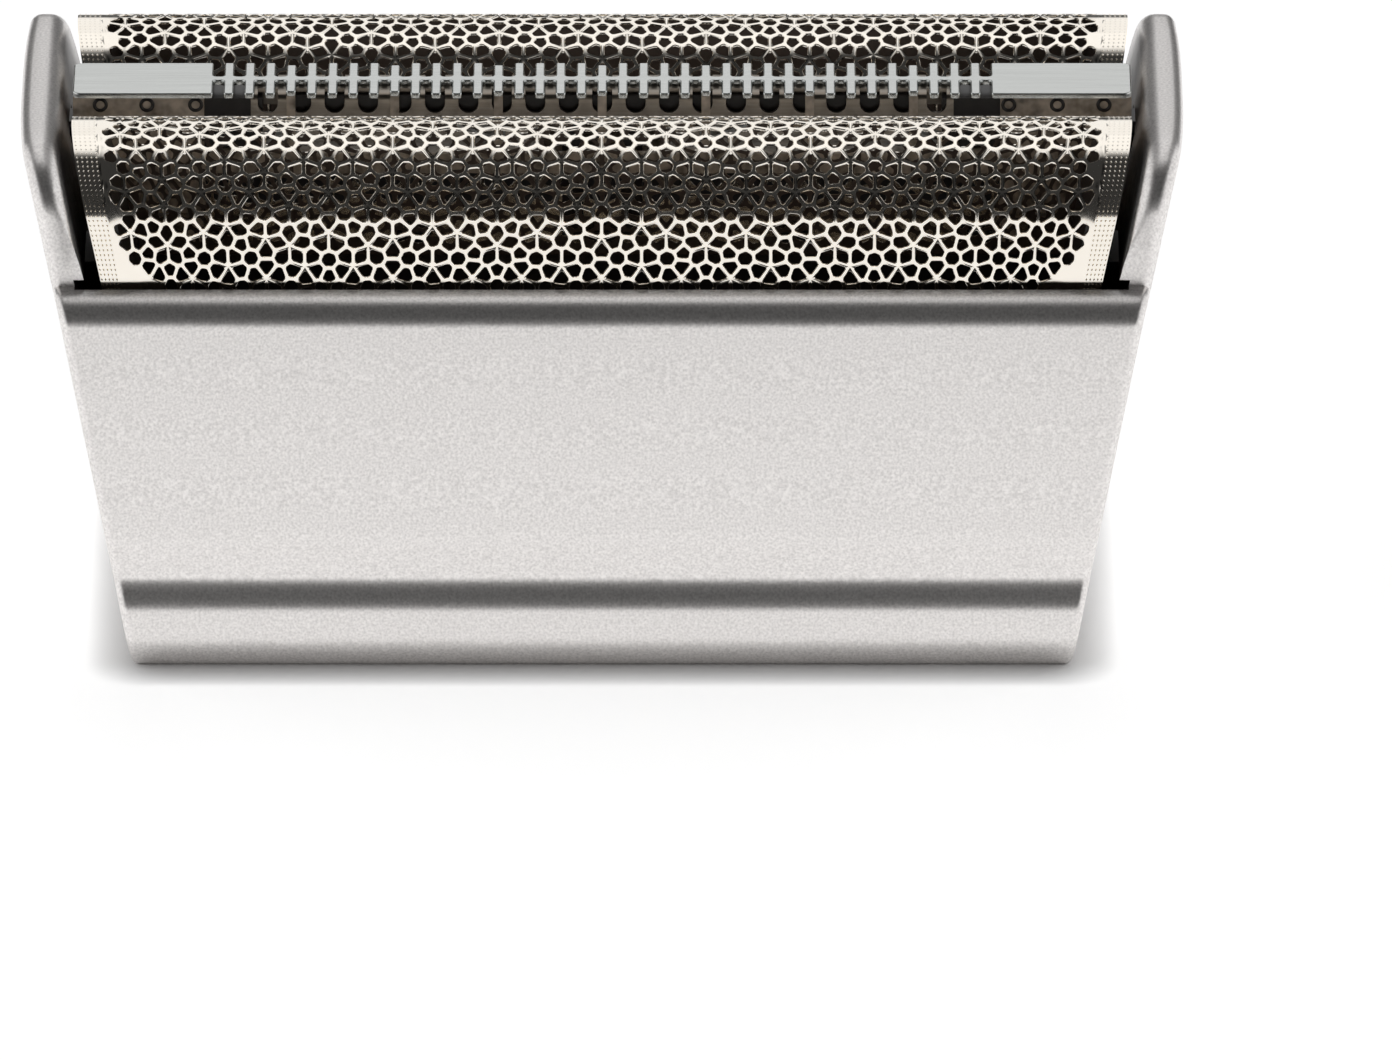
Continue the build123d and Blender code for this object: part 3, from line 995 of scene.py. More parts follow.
@dataclass(frozen=True)
class StarMesh:
    """A fivefold star pattern: five sets of even lines are crossed, and each crossing gives one rhomb."""

    half: float
    depth: float
    edge: float = 1.972
    side_shift: float = 0.7438
    tilt_shift: float = 0.0271
    rise: float = 1.012
    line_gap: float = 2.5  # rhomb edges from line to line
    spare_lines: int = 4
    spare: float = 2.0
    nudge: float = 1e-9
    star_digits: int = 4
    filler_shares: Flat = (0.407, 0.64)
    edge_bar: float = 0.1
    reach: float = 1.6
    neighbours: int = 15

    def rays(self) -> list[Flat]:
        """Five unit directions, the first one downwards."""
        turns = [math.radians(72 * step - 90) for step in range(5)]
        return [(math.cos(turn), math.sin(turn)) for turn in turns]

    def rhombs(self) -> list[tuple[bool, list[tuple[Flat, int]]]]:
        """All rhombs of the pattern near the sheet.

        Returns:
            For each rhomb whether it is a wide one, and its corners with their levels.
        """
        rays = self.rays()
        side, tilt = self.side_shift, self.tilt_shift
        shifts = [-2 * (side + tilt), side, tilt, tilt, side]
        stretch = self.line_gap * self.edge
        span = math.ceil(2 * self.half / stretch) + self.spare_lines
        limits = (self.half / stretch + self.spare, self.depth / stretch + self.spare)
        found = []
        for first, second in combinations(range(5), 2):
            (ax, ay), (bx, by) = rays[first], rays[second]
            turn = ax * by - ay * bx
            for one in range(-span, span + 1):
                for two in range(-span, span + 1):
                    u, v = one - shifts[first], two - shifts[second]
                    x, y = (u * by - v * ay) / turn, (v * ax - u * bx) / turn
                    if abs(x) > limits[0] or abs(y) > limits[1]:
                        continue
                    steps = [
                        math.ceil(x * ex + y * ey + shift - self.nudge) for (ex, ey), shift in zip(rays, shifts)
                    ]
                    corners = []
                    for add_one, add_two in ((0, 0), (1, 0), (1, 1), (0, 1)):
                        steps[first], steps[second] = one + add_one, two + add_two
                        across = sum(step * ray[0] for step, ray in zip(steps, rays))
                        up = sum(step * ray[1] for step, ray in zip(steps, rays))
                        corners.append(((across, up), sum(steps)))
                    found.append(((second - first) % 5 in (1, 4), corners))
        return found

    def on_sheet(self, x: float, y: float) -> Flat:
        """Place of a pattern point on the sheet."""
        return x * self.edge, self.rise - y * self.edge

    def layout(self) -> tuple[list[Flat], list[Flat]]:
        """Middles of the cells and centres of the stars.

        Returns:
            Cell middles and star centres, as places on the sheet.
        """
        middles: dict[Flat, Flat] = {}
        stars: dict[Flat, tuple[Flat, int]] = {}
        petal = (math.sqrt(5) - 1) / 4
        for wide, corners in self.rhombs():
            for place, level in corners:
                stars.setdefault(spot_key(place, self.star_digits), (place, level))
            if wide:
                near, far = (corners[2], corners[0]) if corners[0][1] == 1 else (corners[0], corners[2])
                for share in self.filler_shares:
                    x, y = (here + share * (there - here) for here, there in zip(near[0], far[0]))
                    middles.setdefault(spot_key((x, y)), self.on_sheet(x, y))
        for (x, y), level in stars.values():
            side = petal if level <= 2 else -petal
            for ex, ey in self.rays():
                spot = (x + side * ex, y + side * ey)
                middles.setdefault(spot_key(spot), self.on_sheet(*spot))
        return list(middles.values()), [self.on_sheet(*place) for place, _ in stars.values()]

    def bin_of(self, x: float, y: float) -> tuple[int, int]:
        """Square of the sheet that a place lies in."""
        return math.floor(x / self.reach), math.floor(y / self.reach)

    def cells(self, middles: Sequence[Flat], margin: float) -> list[Cell]:
        """Divide the sheet among the cells.

        Args:
            middles: middles of the cells.
            margin: half a bar.

        Returns:
            The cells.
        """
        bins: dict[tuple[int, int], list[Flat]] = {}
        for spot in middles:
            bins.setdefault(self.bin_of(*spot), []).append(spot)
        edge = self.edge_bar + margin
        found = []
        for x, y in middles:
            if abs(x) > self.half + self.reach / 2 or abs(y) > self.depth + self.reach / 2:
                continue
            column, row = self.bin_of(x, y)
            around = [(column + i, row + j) for i in (-1, 0, 1) for j in (-1, 0, 1)]
            near = [spot for square in around for spot in bins.get(square, [])]
            near.sort(key=lambda spot: math.hypot(spot[0] - x, spot[1] - y))
            outline, hole = self.rectangle(0.0), self.rectangle(edge)
            for a, b in near[1 : self.neighbours + 1]:
                away = math.hypot(a - x, b - y)
                normal = ((a - x) / away, (b - y) / away)
                reach = normal[0] * (x + a) / 2 + normal[1] * (y + b) / 2
                outline = clip(outline, normal, reach)
                hole = clip(hole, normal, reach - margin)
            if abs(x) > self.half - 2 * edge or abs(y) > self.depth - 2 * edge:
                if len(outline) < 3:
                    continue
                x, y = (sum(spot[axis] for spot in outline) / len(outline) for axis in (0, 1))
                hole = []
            found.append(Cell((x, y), outline, hole))
        return found

    def rectangle(self, by: float) -> list[Flat]:
        """Outline of the sheet, drawn in by a distance."""
        return upright(self.half - by, by - self.depth, self.depth - by)


def zip_steps(first: Sequence[float], second: Sequence[float]) -> Iterator[tuple[int, int, bool]]:
    """Walk along two sorted lines at once, always to the nearer next point.

    Args:
        first: places of one line's points.
        second: places of the other line's points.

    Returns:
        For each step the point reached on each line, and whether the step is on the first line.
    """
    one, two = 0, 0
    while one < len(first) - 1 or two < len(second) - 1:
        on_first = two == len(second) - 1 or (one < len(first) - 1 and first[one + 1] <= second[two + 1])
        yield one, two, on_first
        one, two = (one + 1, two) if on_first else (one, two + 1)


class Sheet:
    """Collects the faces of one thin arched sheet, upper and lower side, in sheet coordinates."""

    digits = 5  # to which two corners have to agree to be one

    def __init__(self) -> None:
        """Start with nothing."""
        self.points: list[Point] = []
        self.faces: list[list[int]] = []
        self.tints: list[int] = []
        self.known: dict[Point, int] = {}

    def corner(self, along: float, down: float, depth: float) -> int:
        """Number of a corner, made on first use.

        Args:
            along: distance along the foil.
            down: distance from the crest, measured on the sheet.
            depth: distance below the outer face.

        Returns:
            The corner's number.
        """
        key = (round(along, self.digits), round(down, self.digits), round(depth, self.digits))
        if key not in self.known:
            self.known[key] = len(self.points)
            self.points.append((along, down, depth))
        return self.known[key]

    def face(self, corners: Sequence[Flat], depths: Sequence[float], tint: int = OUTSIDE) -> None:
        """Add one face, without corners that fall together.

        Args:
            corners: its corners on the sheet.
            depths: the depth of each corner.
            tint: its material slot.
        """
        numbers: list[int] = []
        for (along, down), depth in zip(corners, depths):
            number = self.corner(along, down, depth)
            if not numbers or number != numbers[-1]:
                numbers.append(number)
        if numbers[0] == numbers[-1]:
            numbers.pop()
        if len(set(numbers)) == len(numbers) > 2:
            self.faces.append(numbers)
            self.tints.append(tint)

    def both_sides(self, corners: Sequence[Flat], thickness: float) -> None:
        """Add a plain face on the upper and on the lower side."""
        self.face(corners, [0.0] * len(corners))
        self.face(corners, [thickness] * len(corners), INSIDE)

    def zip_lines(self, first: Sequence[Flat], second: Sequence[Flat], axis: int, thickness: float) -> None:
        """Fill the strip between two lines of points, on both sides of the sheet.

        Args:
            first: points of one line, sorted along the axis.
            second: points of the other line, sorted too.
            axis: 0 along the foil, 1 down the sheet.
            thickness: depth of the lower side.
        """
        places = ([spot[axis] for spot in line] for line in (first, second))
        for one, two, on_first in zip_steps(*places):
            tip = first[one + 1] if on_first else second[two + 1]
            self.both_sides([first[one], second[two], tip], thickness)


def turn_of(point: Flat, centre: Flat) -> float:
    """Angle of a point seen from a centre."""
    return math.atan2(point[1] - centre[1], point[0] - centre[0])


@dataclass
class Foil:
    """One arched foil with star-like cells and dimpled ends, in millimetres and degrees."""

    name: str
    body: Body
    axis_y: float
    facing: int
    housing: FoilFrame
    radius: float = 3.9
    axis_height: float = 21.27
    flank_lean: float = 6.5
    edge_height: float = 14.7
    end_inset: float = 2.7
    end_power: float = 5.0
    sheet: float = 0.1
    sharp: float = 35.0
    mesh_half: float = 23.7
    mesh_depth: float = 10.4
    bar: float = 0.2
    bevel: float = 0.03
    bevel_drop: float = 0.04
    star_drop: float = 0.015
    corner_share: float = 0.15
    hole_half: float = 23.4
    widen_from: float = 7.2
    widen: float = 1.3
    dimple_start: float = 23.76
    dimple_columns: int = 5
    dimple_rows: int = 88
    dimple: float = 0.065
    dimple_drop: float = 0.05
    window_pitch: float = 9.0
    window_count: int = 5
    window_half: float = 0.85
    window_low: float = 15.3
    window_high: float = 16.1
    shade_floor_from: float = math.inf  # cells further down the outer flank are closed by a dark floor, a painted shade in place of open holes
    shade_floor_depth: float = 0.08
    border: list[Flat] = field(default_factory=list)
    skin: Sheet = field(default_factory=Sheet)

    def __post_init__(self) -> None:
        """Work out the lines of the arch."""
        self.lean = math.radians(self.flank_lean)
        self.turn_limit = math.pi / 2 - self.lean
        self.crown = self.turn_limit * self.radius
        self.crest_half = self.housing.end_half(self.end_inset, self.axis_height + self.radius)

    def down_at(self, height: float) -> float:
        """Distance from the crest, on the sheet, of a height on the flank."""
        tangent = self.axis_height + self.radius * math.sin(self.lean)
        return self.crown + (tangent - height) / math.cos(self.lean)

    def place(self, along: float, down: float, depth: float) -> Point:
        """Bend a point of the flat sheet over the arch and draw in its ends downwards.

        Args:
            along: distance along the foil.
            down: distance from the crest, measured on the sheet.
            depth: distance below the outer face.

        Returns:
            The point in metres.
        """
        side = math.copysign(self.facing, self.facing * down)
        turn = min(abs(down) / self.radius, self.turn_limit)
        rest = abs(down) - turn * self.radius
        reach = self.radius - depth
        out = reach * math.sin(turn) + rest * math.sin(self.lean)
        rise = reach * math.cos(turn) - rest * math.cos(self.lean)
        height = self.axis_height + rise
        draw = self.crest_half - self.housing.end_half(self.end_inset, height)
        across = along - math.copysign(draw * (abs(along) / self.crest_half) ** self.end_power, along)
        return metres(across, self.axis_y - side * out, height)

    def pierced(self, along: float, down: float) -> bool:
        """Whether a cell with this middle is a hole."""
        return abs(along) < self.hole_half - self.widen * max(0.0, abs(down) - self.widen_from)

    def cells(self) -> None:
        """Add the star-like cells."""
        mesh = StarMesh(self.mesh_half, self.mesh_depth)
        middles, stars = mesh.layout()
        marks = {spot_key(star) for star in stars}
        for cell in mesh.cells(middles, self.bar / 2):
            drops = [self.star_drop if spot_key(spot) in marks else 0.0 for spot in cell.outline]
            self.border += cell.outline
            if cell.hole and self.pierced(*cell.middle):
                self.open_cell(cell, drops)
            else:
                self.closed_cell(cell, drops)

    def rounded(self, hole: Sequence[Flat]) -> list[Flat]:
        """Break the corners of a hole.

        Args:
            hole: its corners.

        Returns:
            Two points for each corner.
        """
        ring = []
        share = self.corner_share
        for index, tip in enumerate(hole):
            for other in (hole[index - 1], hole[(index + 1) % len(hole)]):
                ring.append((tip[0] + share * (other[0] - tip[0]), tip[1] + share * (other[1] - tip[1])))
        return ring

    def ring_faces(self, middle: Flat, outer: Ring, inner: Ring, tint: int) -> None:
        """Fill the ring between two outlines round the same middle.

        Args:
            middle: the common middle.
            outer: corners of the outer outline with their depths.
            inner: corners of the inner outline with their depths.
            tint: material slot.
        """
        rings, turns = [], []
        for ring in (outer, inner):
            turned = sorted(ring, key=lambda item: turn_of(item[0], middle))
            angles = [turn_of(spot, middle) for spot, _ in turned]
            rings.append([*turned, turned[0]])
            turns.append([*angles, angles[0] + 2 * math.pi])
        for one, two, on_first in zip_steps(*turns):
            tip = rings[0][one + 1] if on_first else rings[1][two + 1]
            spots, depths = zip(rings[0][one], rings[1][two], tip)
            self.skin.face(spots, depths, tint)

    def open_cell(self, cell: Cell, drops: Sequence[float]) -> None:
        """Add the bars round one hole, with bevelled edges and an inner side, or, further down a shaded flank, a
        dark floor of painted shade that closes the hole.

        Args:
            cell: the cell.
            drops: depth of each corner of its outline on the outer face.
        """
        lower = self.rounded(cell.hole)
        upper = inset(lower, [-self.bevel] * len(lower))
        drop, base, foot = self.bevel_drop, self.sheet, self.sheet
        top = [(spot, 0.0) for spot in upper]
        self.ring_faces(cell.middle, list(zip(cell.outline, drops)), top, OUTSIDE)
        # Past this point the hole is closed by a dark floor: painted shade.
        if cell.middle[1] > self.shade_floor_from:
            foot = self.shade_floor_depth
            self.fan(cell.middle, lower, foot, SHADE_FLOOR)
            self.fan(cell.middle, cell.outline, base, INSIDE)
        else:
            outer, inner = ([(spot, base) for spot in ring] for ring in (cell.outline, lower))
            self.ring_faces(cell.middle, outer, inner, INSIDE)
        for index in range(len(lower)):
            after = (index + 1) % len(lower)
            edge = [lower[after], lower[index]]
            self.skin.face([upper[index], upper[after], *edge], [0.0, 0.0, drop, drop])
            self.skin.face([lower[index], lower[after], *edge], [drop, drop, foot, foot])

    def fan(self, middle: Flat, outline: Sequence[Flat], depth: float, tint: int) -> None:
        """Close an outline with faces round its middle.

        Args:
            middle: the middle.
            outline: the corners.
            depth: depth of the faces.
            tint: material slot.
        """
        for index, here in enumerate(outline):
            self.skin.face([here, outline[(index + 1) % len(outline)], middle], [depth] * 3, tint)

    def closed_cell(self, cell: Cell, drops: Sequence[float]) -> None:
        """Add a plain stretch of sheet, upper and lower side.

        Args:
            cell: the cell.
            drops: depth of each corner of its outline on the outer face.
        """
        for index, here in enumerate(cell.outline):
            following = (index + 1) % len(cell.outline)
            corners = [here, cell.outline[following], cell.middle]
            self.skin.face(corners, [drops[index], drops[following], 0.0])
            self.skin.face(corners, [self.sheet] * 3, INSIDE)

    def grid(self) -> tuple[list[float], list[float]]:
        """Lines of the dimpled bands.

        Returns:
            Places along the foil on the right side, and places down the sheet.
        """
        wide = (self.crest_half - self.dimple_start) / self.dimple_columns
        high = 2 * self.mesh_depth / self.dimple_rows
        columns = [self.dimple_start + wide * column for column in range(self.dimple_columns + 1)]
        return columns, [high * row - self.mesh_depth for row in range(self.dimple_rows + 1)]

    def on_border(self, axis: int, limit: float) -> list[float]:
        """Where the cells' corners lie on one edge of the mesh.

        Args:
            axis: 0 for an edge down the sheet, 1 for one along the foil.
            limit: place of the edge on that axis.

        Returns:
            The corners' places along the edge.
        """
        spots = [spot for spot in self.border if abs(spot[axis] - limit) < ON_LINE]
        return sorted({round(spot[1 - axis], self.skin.digits) for spot in spots})

    def dimples(self) -> None:
        """Add the bands of small dimples at both ends."""
        columns, rows = self.grid()
        for side in (-1, 1):
            for one, two in zip(columns, columns[1:]):
                for low, high in zip(rows, rows[1:]):
                    self.dimple_cell(side * one, side * two, low, high)
            end = side * self.mesh_half
            line = [(end, down) for down in self.on_border(0, end)]
            self.skin.zip_lines(line, [(side * self.dimple_start, row) for row in rows], 1, self.sheet)

    def dimple_cell(self, left: float, right: float, low: float, high: float) -> None:
        """Add one dimple in its piece of sheet.

        Args:
            left: one end along the foil.
            right: the other end along the foil.
            low: lower distance from the crest.
            high: upper distance from the crest.
        """
        corners = [(left, low), (right, low), (right, high), (left, high)]
        x, y = (left + right) / 2, (low + high) / 2
        reach = math.copysign(self.dimple, right - left)
        ring = [(x, y - self.dimple), (x + reach, y), (x, y + self.dimple), (x - reach, y)]
        for index in range(4):
            after = (index + 1) % 4
            self.skin.face([corners[index], corners[after], ring[index]], [0.0] * 3)
            self.skin.face([ring[index], corners[after], ring[after]], [0.0] * 3)
            self.skin.face([ring[index], ring[after], (x, y)], [0.0, 0.0, self.dimple_drop])
        self.skin.face(corners, [self.sheet] * 4, INSIDE)

    def skirts(self) -> None:
        """Add the plain lower edges with the windows for the carrier's pegs."""
        cuts = [-self.crest_half, self.crest_half]
        for middle in row_places(self.window_count, self.window_pitch):
            cuts += [middle - self.window_half, middle + self.window_half]
        cuts.sort()
        lines = [self.down_at(height) for height in (self.window_high, self.window_low, self.edge_height)]
        columns, _ = self.grid()
        for side in (-1, 1):
            edge = side * self.mesh_depth
            places = {*self.on_border(1, edge), *columns, *(-column for column in columns)}
            upper = [(along, edge) for along in sorted(places)]
            self.skin.zip_lines(upper, [(along, side * lines[0]) for along in cuts], 0, self.sheet)
            for row, (low, high) in enumerate(zip(lines, lines[1:])):
                for column, (left, right) in enumerate(zip(cuts, cuts[1:])):
                    if row == 0 and column % 2 == 1:
                        continue
                    corners = [(left, side * low), (right, side * low)]
                    self.skin.both_sides([*corners, (right, side * high), (left, side * high)], self.sheet)

    def rims(self) -> None:
        """Close the cut edges of the sheet between its upper and lower side."""
        uses: dict[tuple[int, int], int] = {}
        for face in self.skin.faces:
            for here, after in zip(face, (*face[1:], face[0])):
                key = (min(here, after), max(here, after))
                uses[key] = uses.get(key, 0) + 1
        for (here, after), count in sorted(uses.items()):
            first, second = self.skin.points[here], self.skin.points[after]
            if count == 1 and first[2] == 0.0 and second[2] == 0.0:
                flat = [first[:2], second[:2], second[:2], first[:2]]
                self.skin.face(flat, [0.0, 0.0, self.sheet, self.sheet])

    def build(self, finishes: Finishes) -> None:
        """Build the foil in place of the CAD foil.

        Args:
            finishes: the materials.
        """
        self.cells()
        self.dimples()
        self.skirts()
        self.rims()
        points = [self.place(*point) for point in self.skin.points]
        tints = self.skin.tints
        # The lower side takes the painted shade colour, and closed cells on a shaded flank get a dark
        # painted-shade floor.
        materials = [finishes.foil, finishes.underside_shade, finishes.dark][: max(tints) + 1]
        thing = make_object(f"{self.name}_mesh", points, self.skin.faces, *materials, tints=tints)
        smooth(thing, self.sharp)
        finish_piece(thing, self.body, Slot.FOIL, self.name)
        dress_node(f"{self.name}_carrier", finishes.dark)


@dataclass
class Trimmer:
    """The long-hair trimmer: fixed comb, moving comb, holder and springs, in millimetres and degrees."""

    top: float = 24.75
    half_length: float = 25.0
    width: float = 4.2
    comb_sheet: float = 0.25
    comb_sharp: float = 50.0
    level_face: float = 0.999  # upright share of the normal from which a face is level
    edge_round: float = 0.06
    edge_share: float = 0.3
    corner: float = 0.35
    corner_steps: int = 5
    pitch: float = 0.98
    slots: int = 38
    slot: float = 0.52
    spine: float = 0.5
    slot_round: float = 0.18
    slot_steps: int = 4
    tip_round: float = 0.1
    tip_steps: int = 3
    short_step: int = 5
    short_cut: float = 0.3
    blade_half: float = 16.6
    blade_width: float = 2.9
    blade_top: float = 24.47
    blade_drop: float = 1.5
    blade_bend: float = 0.3
    bend_steps: int = 5
    blade_sheet: float = 0.2
    blade_weld: float = 0.0001
    notch_pitch: float = 1.58
    notches: int = 21
    notch: float = 0.95
    notch_steps: int = 6
    notch_drop: float = 0.95
    notch_spine: float = 1.3
    holder_half: float = 1.75
    nose_inside: float = 16.05
    nose_length: float = 2.85
    nose_half: float = 1.15
    nose_heights: Flat = (21.7, 24.15)
    pip_places: tuple[float, ...] = (19.2, 21.5, 23.7)
    pip_height: float = 24.05
    pip_outer: float = 0.36
    pip_inner: float = 0.2
    pip_proud: float = 0.08
    pip_sides: int = 20

    def comb_edge(self) -> list[Flat]:
        """Rear edge of the comb from its right end to its left one.

        Returns:
            Points of the edge, slots included.
        """
        half, end = self.width / 2, self.half_length - self.corner
        small, foot = self.slot_round, self.spine / 2 + self.slot_round
        edge = arc((end, half - self.corner), self.corner, 0, 90, self.corner_steps)
        for index, middle in reversed(list(enumerate(row_places(self.slots, self.pitch)))):
            right, left = middle + self.slot / 2, middle - self.slot / 2
            edge += self.tip(right, half - self.cut_back(index), 1)
            edge += arc((right - small, foot), small, 0, -90, self.slot_steps)
            edge += arc((left + small, foot), small, -90, -180, self.slot_steps)
            edge += self.tip(left, half - self.cut_back(index - 1), -1)
        return edge + arc((-end, half - self.corner), self.corner, 90, 180, self.corner_steps)

    def cut_back(self, index: int) -> float:
        """How much shorter the tooth to the right of a slot is."""
        short = 0 <= index < self.slots - 1 and (index - self.slots // 2 + 1) % self.short_step == 0
        return self.short_cut if short else 0.0

    def tip(self, along: float, height: float, side: int) -> list[Flat]:
        """Rounded corner of a tooth beside a slot.

        Args:
            along: the slot's wall.
            height: the tooth's end.
            side: 1 on the slot's right, -1 on its left.

        Returns:
            Points in walking order, right to left.
        """
        small = self.tip_round
        start = 90 if side > 0 else 0
        return arc((along + side * small, height - small), small, start, start + 90, self.tip_steps)

    def comb(self, finishes: Finishes) -> None:
        """Build the fixed comb with rounded slots and edges.

        Args:
            finishes: the materials.
        """
        rear = self.comb_edge()
        outline = rear + [(-x, -y) for x, y in rear]
        eased = self.edge_round * self.edge_share
        levels = [
            (self.edge_round, self.top),
            (eased, self.top - eased),
            (0.0, self.top - self.edge_round),
            (0.0, self.top - self.comb_sheet),
        ]
        loops = [
            [metres(x, y, height) for x, y in inset(outline, [depth] * len(outline))] for depth, height in levels
        ]
        thing = make_object("slotted_comb", *loft(loops), finishes.steel)
        with editing(thing.data) as work:
            bmesh.ops.triangulate(work, faces=[face for face in work.faces if len(face.verts) > 4])
        smooth(thing, self.comb_sharp)
        for face in thing.data.polygons:
            face.use_smooth = abs(face.normal.z) < self.level_face
        finish_piece(thing, Body.TRIMMER, Slot.COMB, "trimmer_comb")

    def blade_rows(self) -> list[tuple[float, float, float, bool]]:
        """Rows of the moving comb's bent sheet, from its front edge to its rear edge.

        Returns:
            Depth, height, half width of the notches, and whether the strip after the row is notched.
        """
        half, wide, bend = self.blade_width / 2, self.notch / 2, self.blade_bend
        low = self.blade_top - self.notch_drop
        rows = [(half, self.blade_top - self.blade_drop, 0.0, False), (half, low, 0.0, True)]
        for step in range(1, self.notch_steps + 1):
            angle = math.radians(90 * step / self.notch_steps)
            rows.append((half, low + wide * (1 - math.cos(angle)), wide * math.sin(angle), True))
        for depth, height in arc((half - bend, self.blade_top - bend), bend, 0, 90, self.bend_steps):
            rows.append((depth, height, wide, True))
        rows.append((self.notch_spine / 2, self.blade_top, wide, False))
        front = [(-depth, *rest) for depth, *rest in rows]
        notched = [False, *(row[3] for row in rows)]
        rear = [(*row[:3], strip) for row, strip in zip(rows, notched)]
        return front + rear[::-1]

    def blade(self, finishes: Finishes) -> None:
        """Build the moving comb with its U-shaped notches.

        Args:
            finishes: the materials.
        """
        rows = self.blade_rows()
        centres = row_places(self.notches, self.notch_pitch)
        points, faces = [], []
        for depth, height, wide, _ in rows:
            sides = [place for centre in centres for place in (centre - wide, centre + wide)]
            points += [metres(x, depth, height) for x in (-self.blade_half, *sides, self.blade_half)]
        count = 2 * self.notches + 2
        for row in range(len(rows) - 1):
            for here in range(row * count, row * count + count - 1, 2 if rows[row][3] else 1):
                faces.append([here, here + 1, here + count + 1, here + count])
        thing = make_object("notched_blade", points, faces, finishes.blade)
        weld = self.blade_weld * MM
        with editing(thing.data) as work:
            bmesh.ops.remove_doubles(work, verts=work.verts, dist=weld)
            bmesh.ops.dissolve_degenerate(work, edges=work.edges, dist=weld)
            top = max(work.faces, key=lambda face: face.calc_center_median().z)
            if top.normal.z < 0:
                bmesh.ops.reverse_faces(work, faces=work.faces)
        thick = thing.modifiers.new("sheet", "SOLIDIFY")
        thick.thickness = self.blade_sheet * MM
        thick.offset = -1.0
        thick.use_even_offset = True
        settle(thing)
        smooth(thing)
        finish_piece(thing, Body.CUTTER_COMB, Slot.COMB, "trimmer_blade")

    def noses(self, finishes: Finishes) -> None:
        """Build the holder's noses, which reach into the moving comb from both ends.

        Args:
            finishes: the materials.
        """
        middle = self.nose_inside + self.nose_length / 2
        depths = (-self.nose_half, self.nose_half)
        parts = [box(side * middle, self.nose_length, depths, *self.nose_heights) for side in (-1, 1)]
        thing = make_object("holder_noses", *join(parts), finishes.dark)
        finish_piece(thing, Body.TRIMMER, Slot.DARK)

    def pips(self, finishes: Finishes) -> None:
        """Build the small moulded rings on the holder's end blocks.

        Args:
            finishes: the materials.
        """
        places = [(end * along, side) for end in (-1, 1) for along in self.pip_places for side in (-1, 1)]
        thing = make_object("holder_pips", *join([self.pip(*place) for place in places]), finishes.dark)
        smooth(thing)
        finish_piece(thing, Body.TRIMMER, Slot.DARK)

    def pip(self, along: float, side: int) -> Part:
        """One ring.

        Args:
            along: its place along the holder.
            side: -1 on the front face, 1 on the rear one.

        Returns:
            Its points and faces.
        """
        outer, inner, proud = self.pip_outer, self.pip_inner, self.pip_proud
        section = [(outer, -proud), (outer, proud / 2), ((outer + inner) / 2, proud)]
        section += [(inner, proud / 2), (inner, -proud)]
        loops = []
        for step in range(self.pip_sides):
            turn = 2 * math.pi * step / self.pip_sides
            loop = [
                metres(
                    along + radius * math.cos(turn),
                    side * (self.holder_half + out),
                    self.pip_height + radius * math.sin(turn),
                )
                for radius, out in section
            ]
            loops.append(loop)
        return loft(loops, closed=True)

    def build(self, finishes: Finishes) -> None:
        """Build and dress the trimmer.

        Args:
            finishes: the materials.
        """
        self.comb(finishes)
        self.blade(finishes)
        self.noses(finishes)
        self.pips(finishes)
        dress_node("trimmer_holder", finishes.smoke)
        dress_node("trimmer_driver", finishes.dark)
        for side in ("left", "right"):
            dress_node(f"blade_leaf_{side}", finishes.spring)
            dress_node(f"trimmer_spring_{side}", finishes.spring)


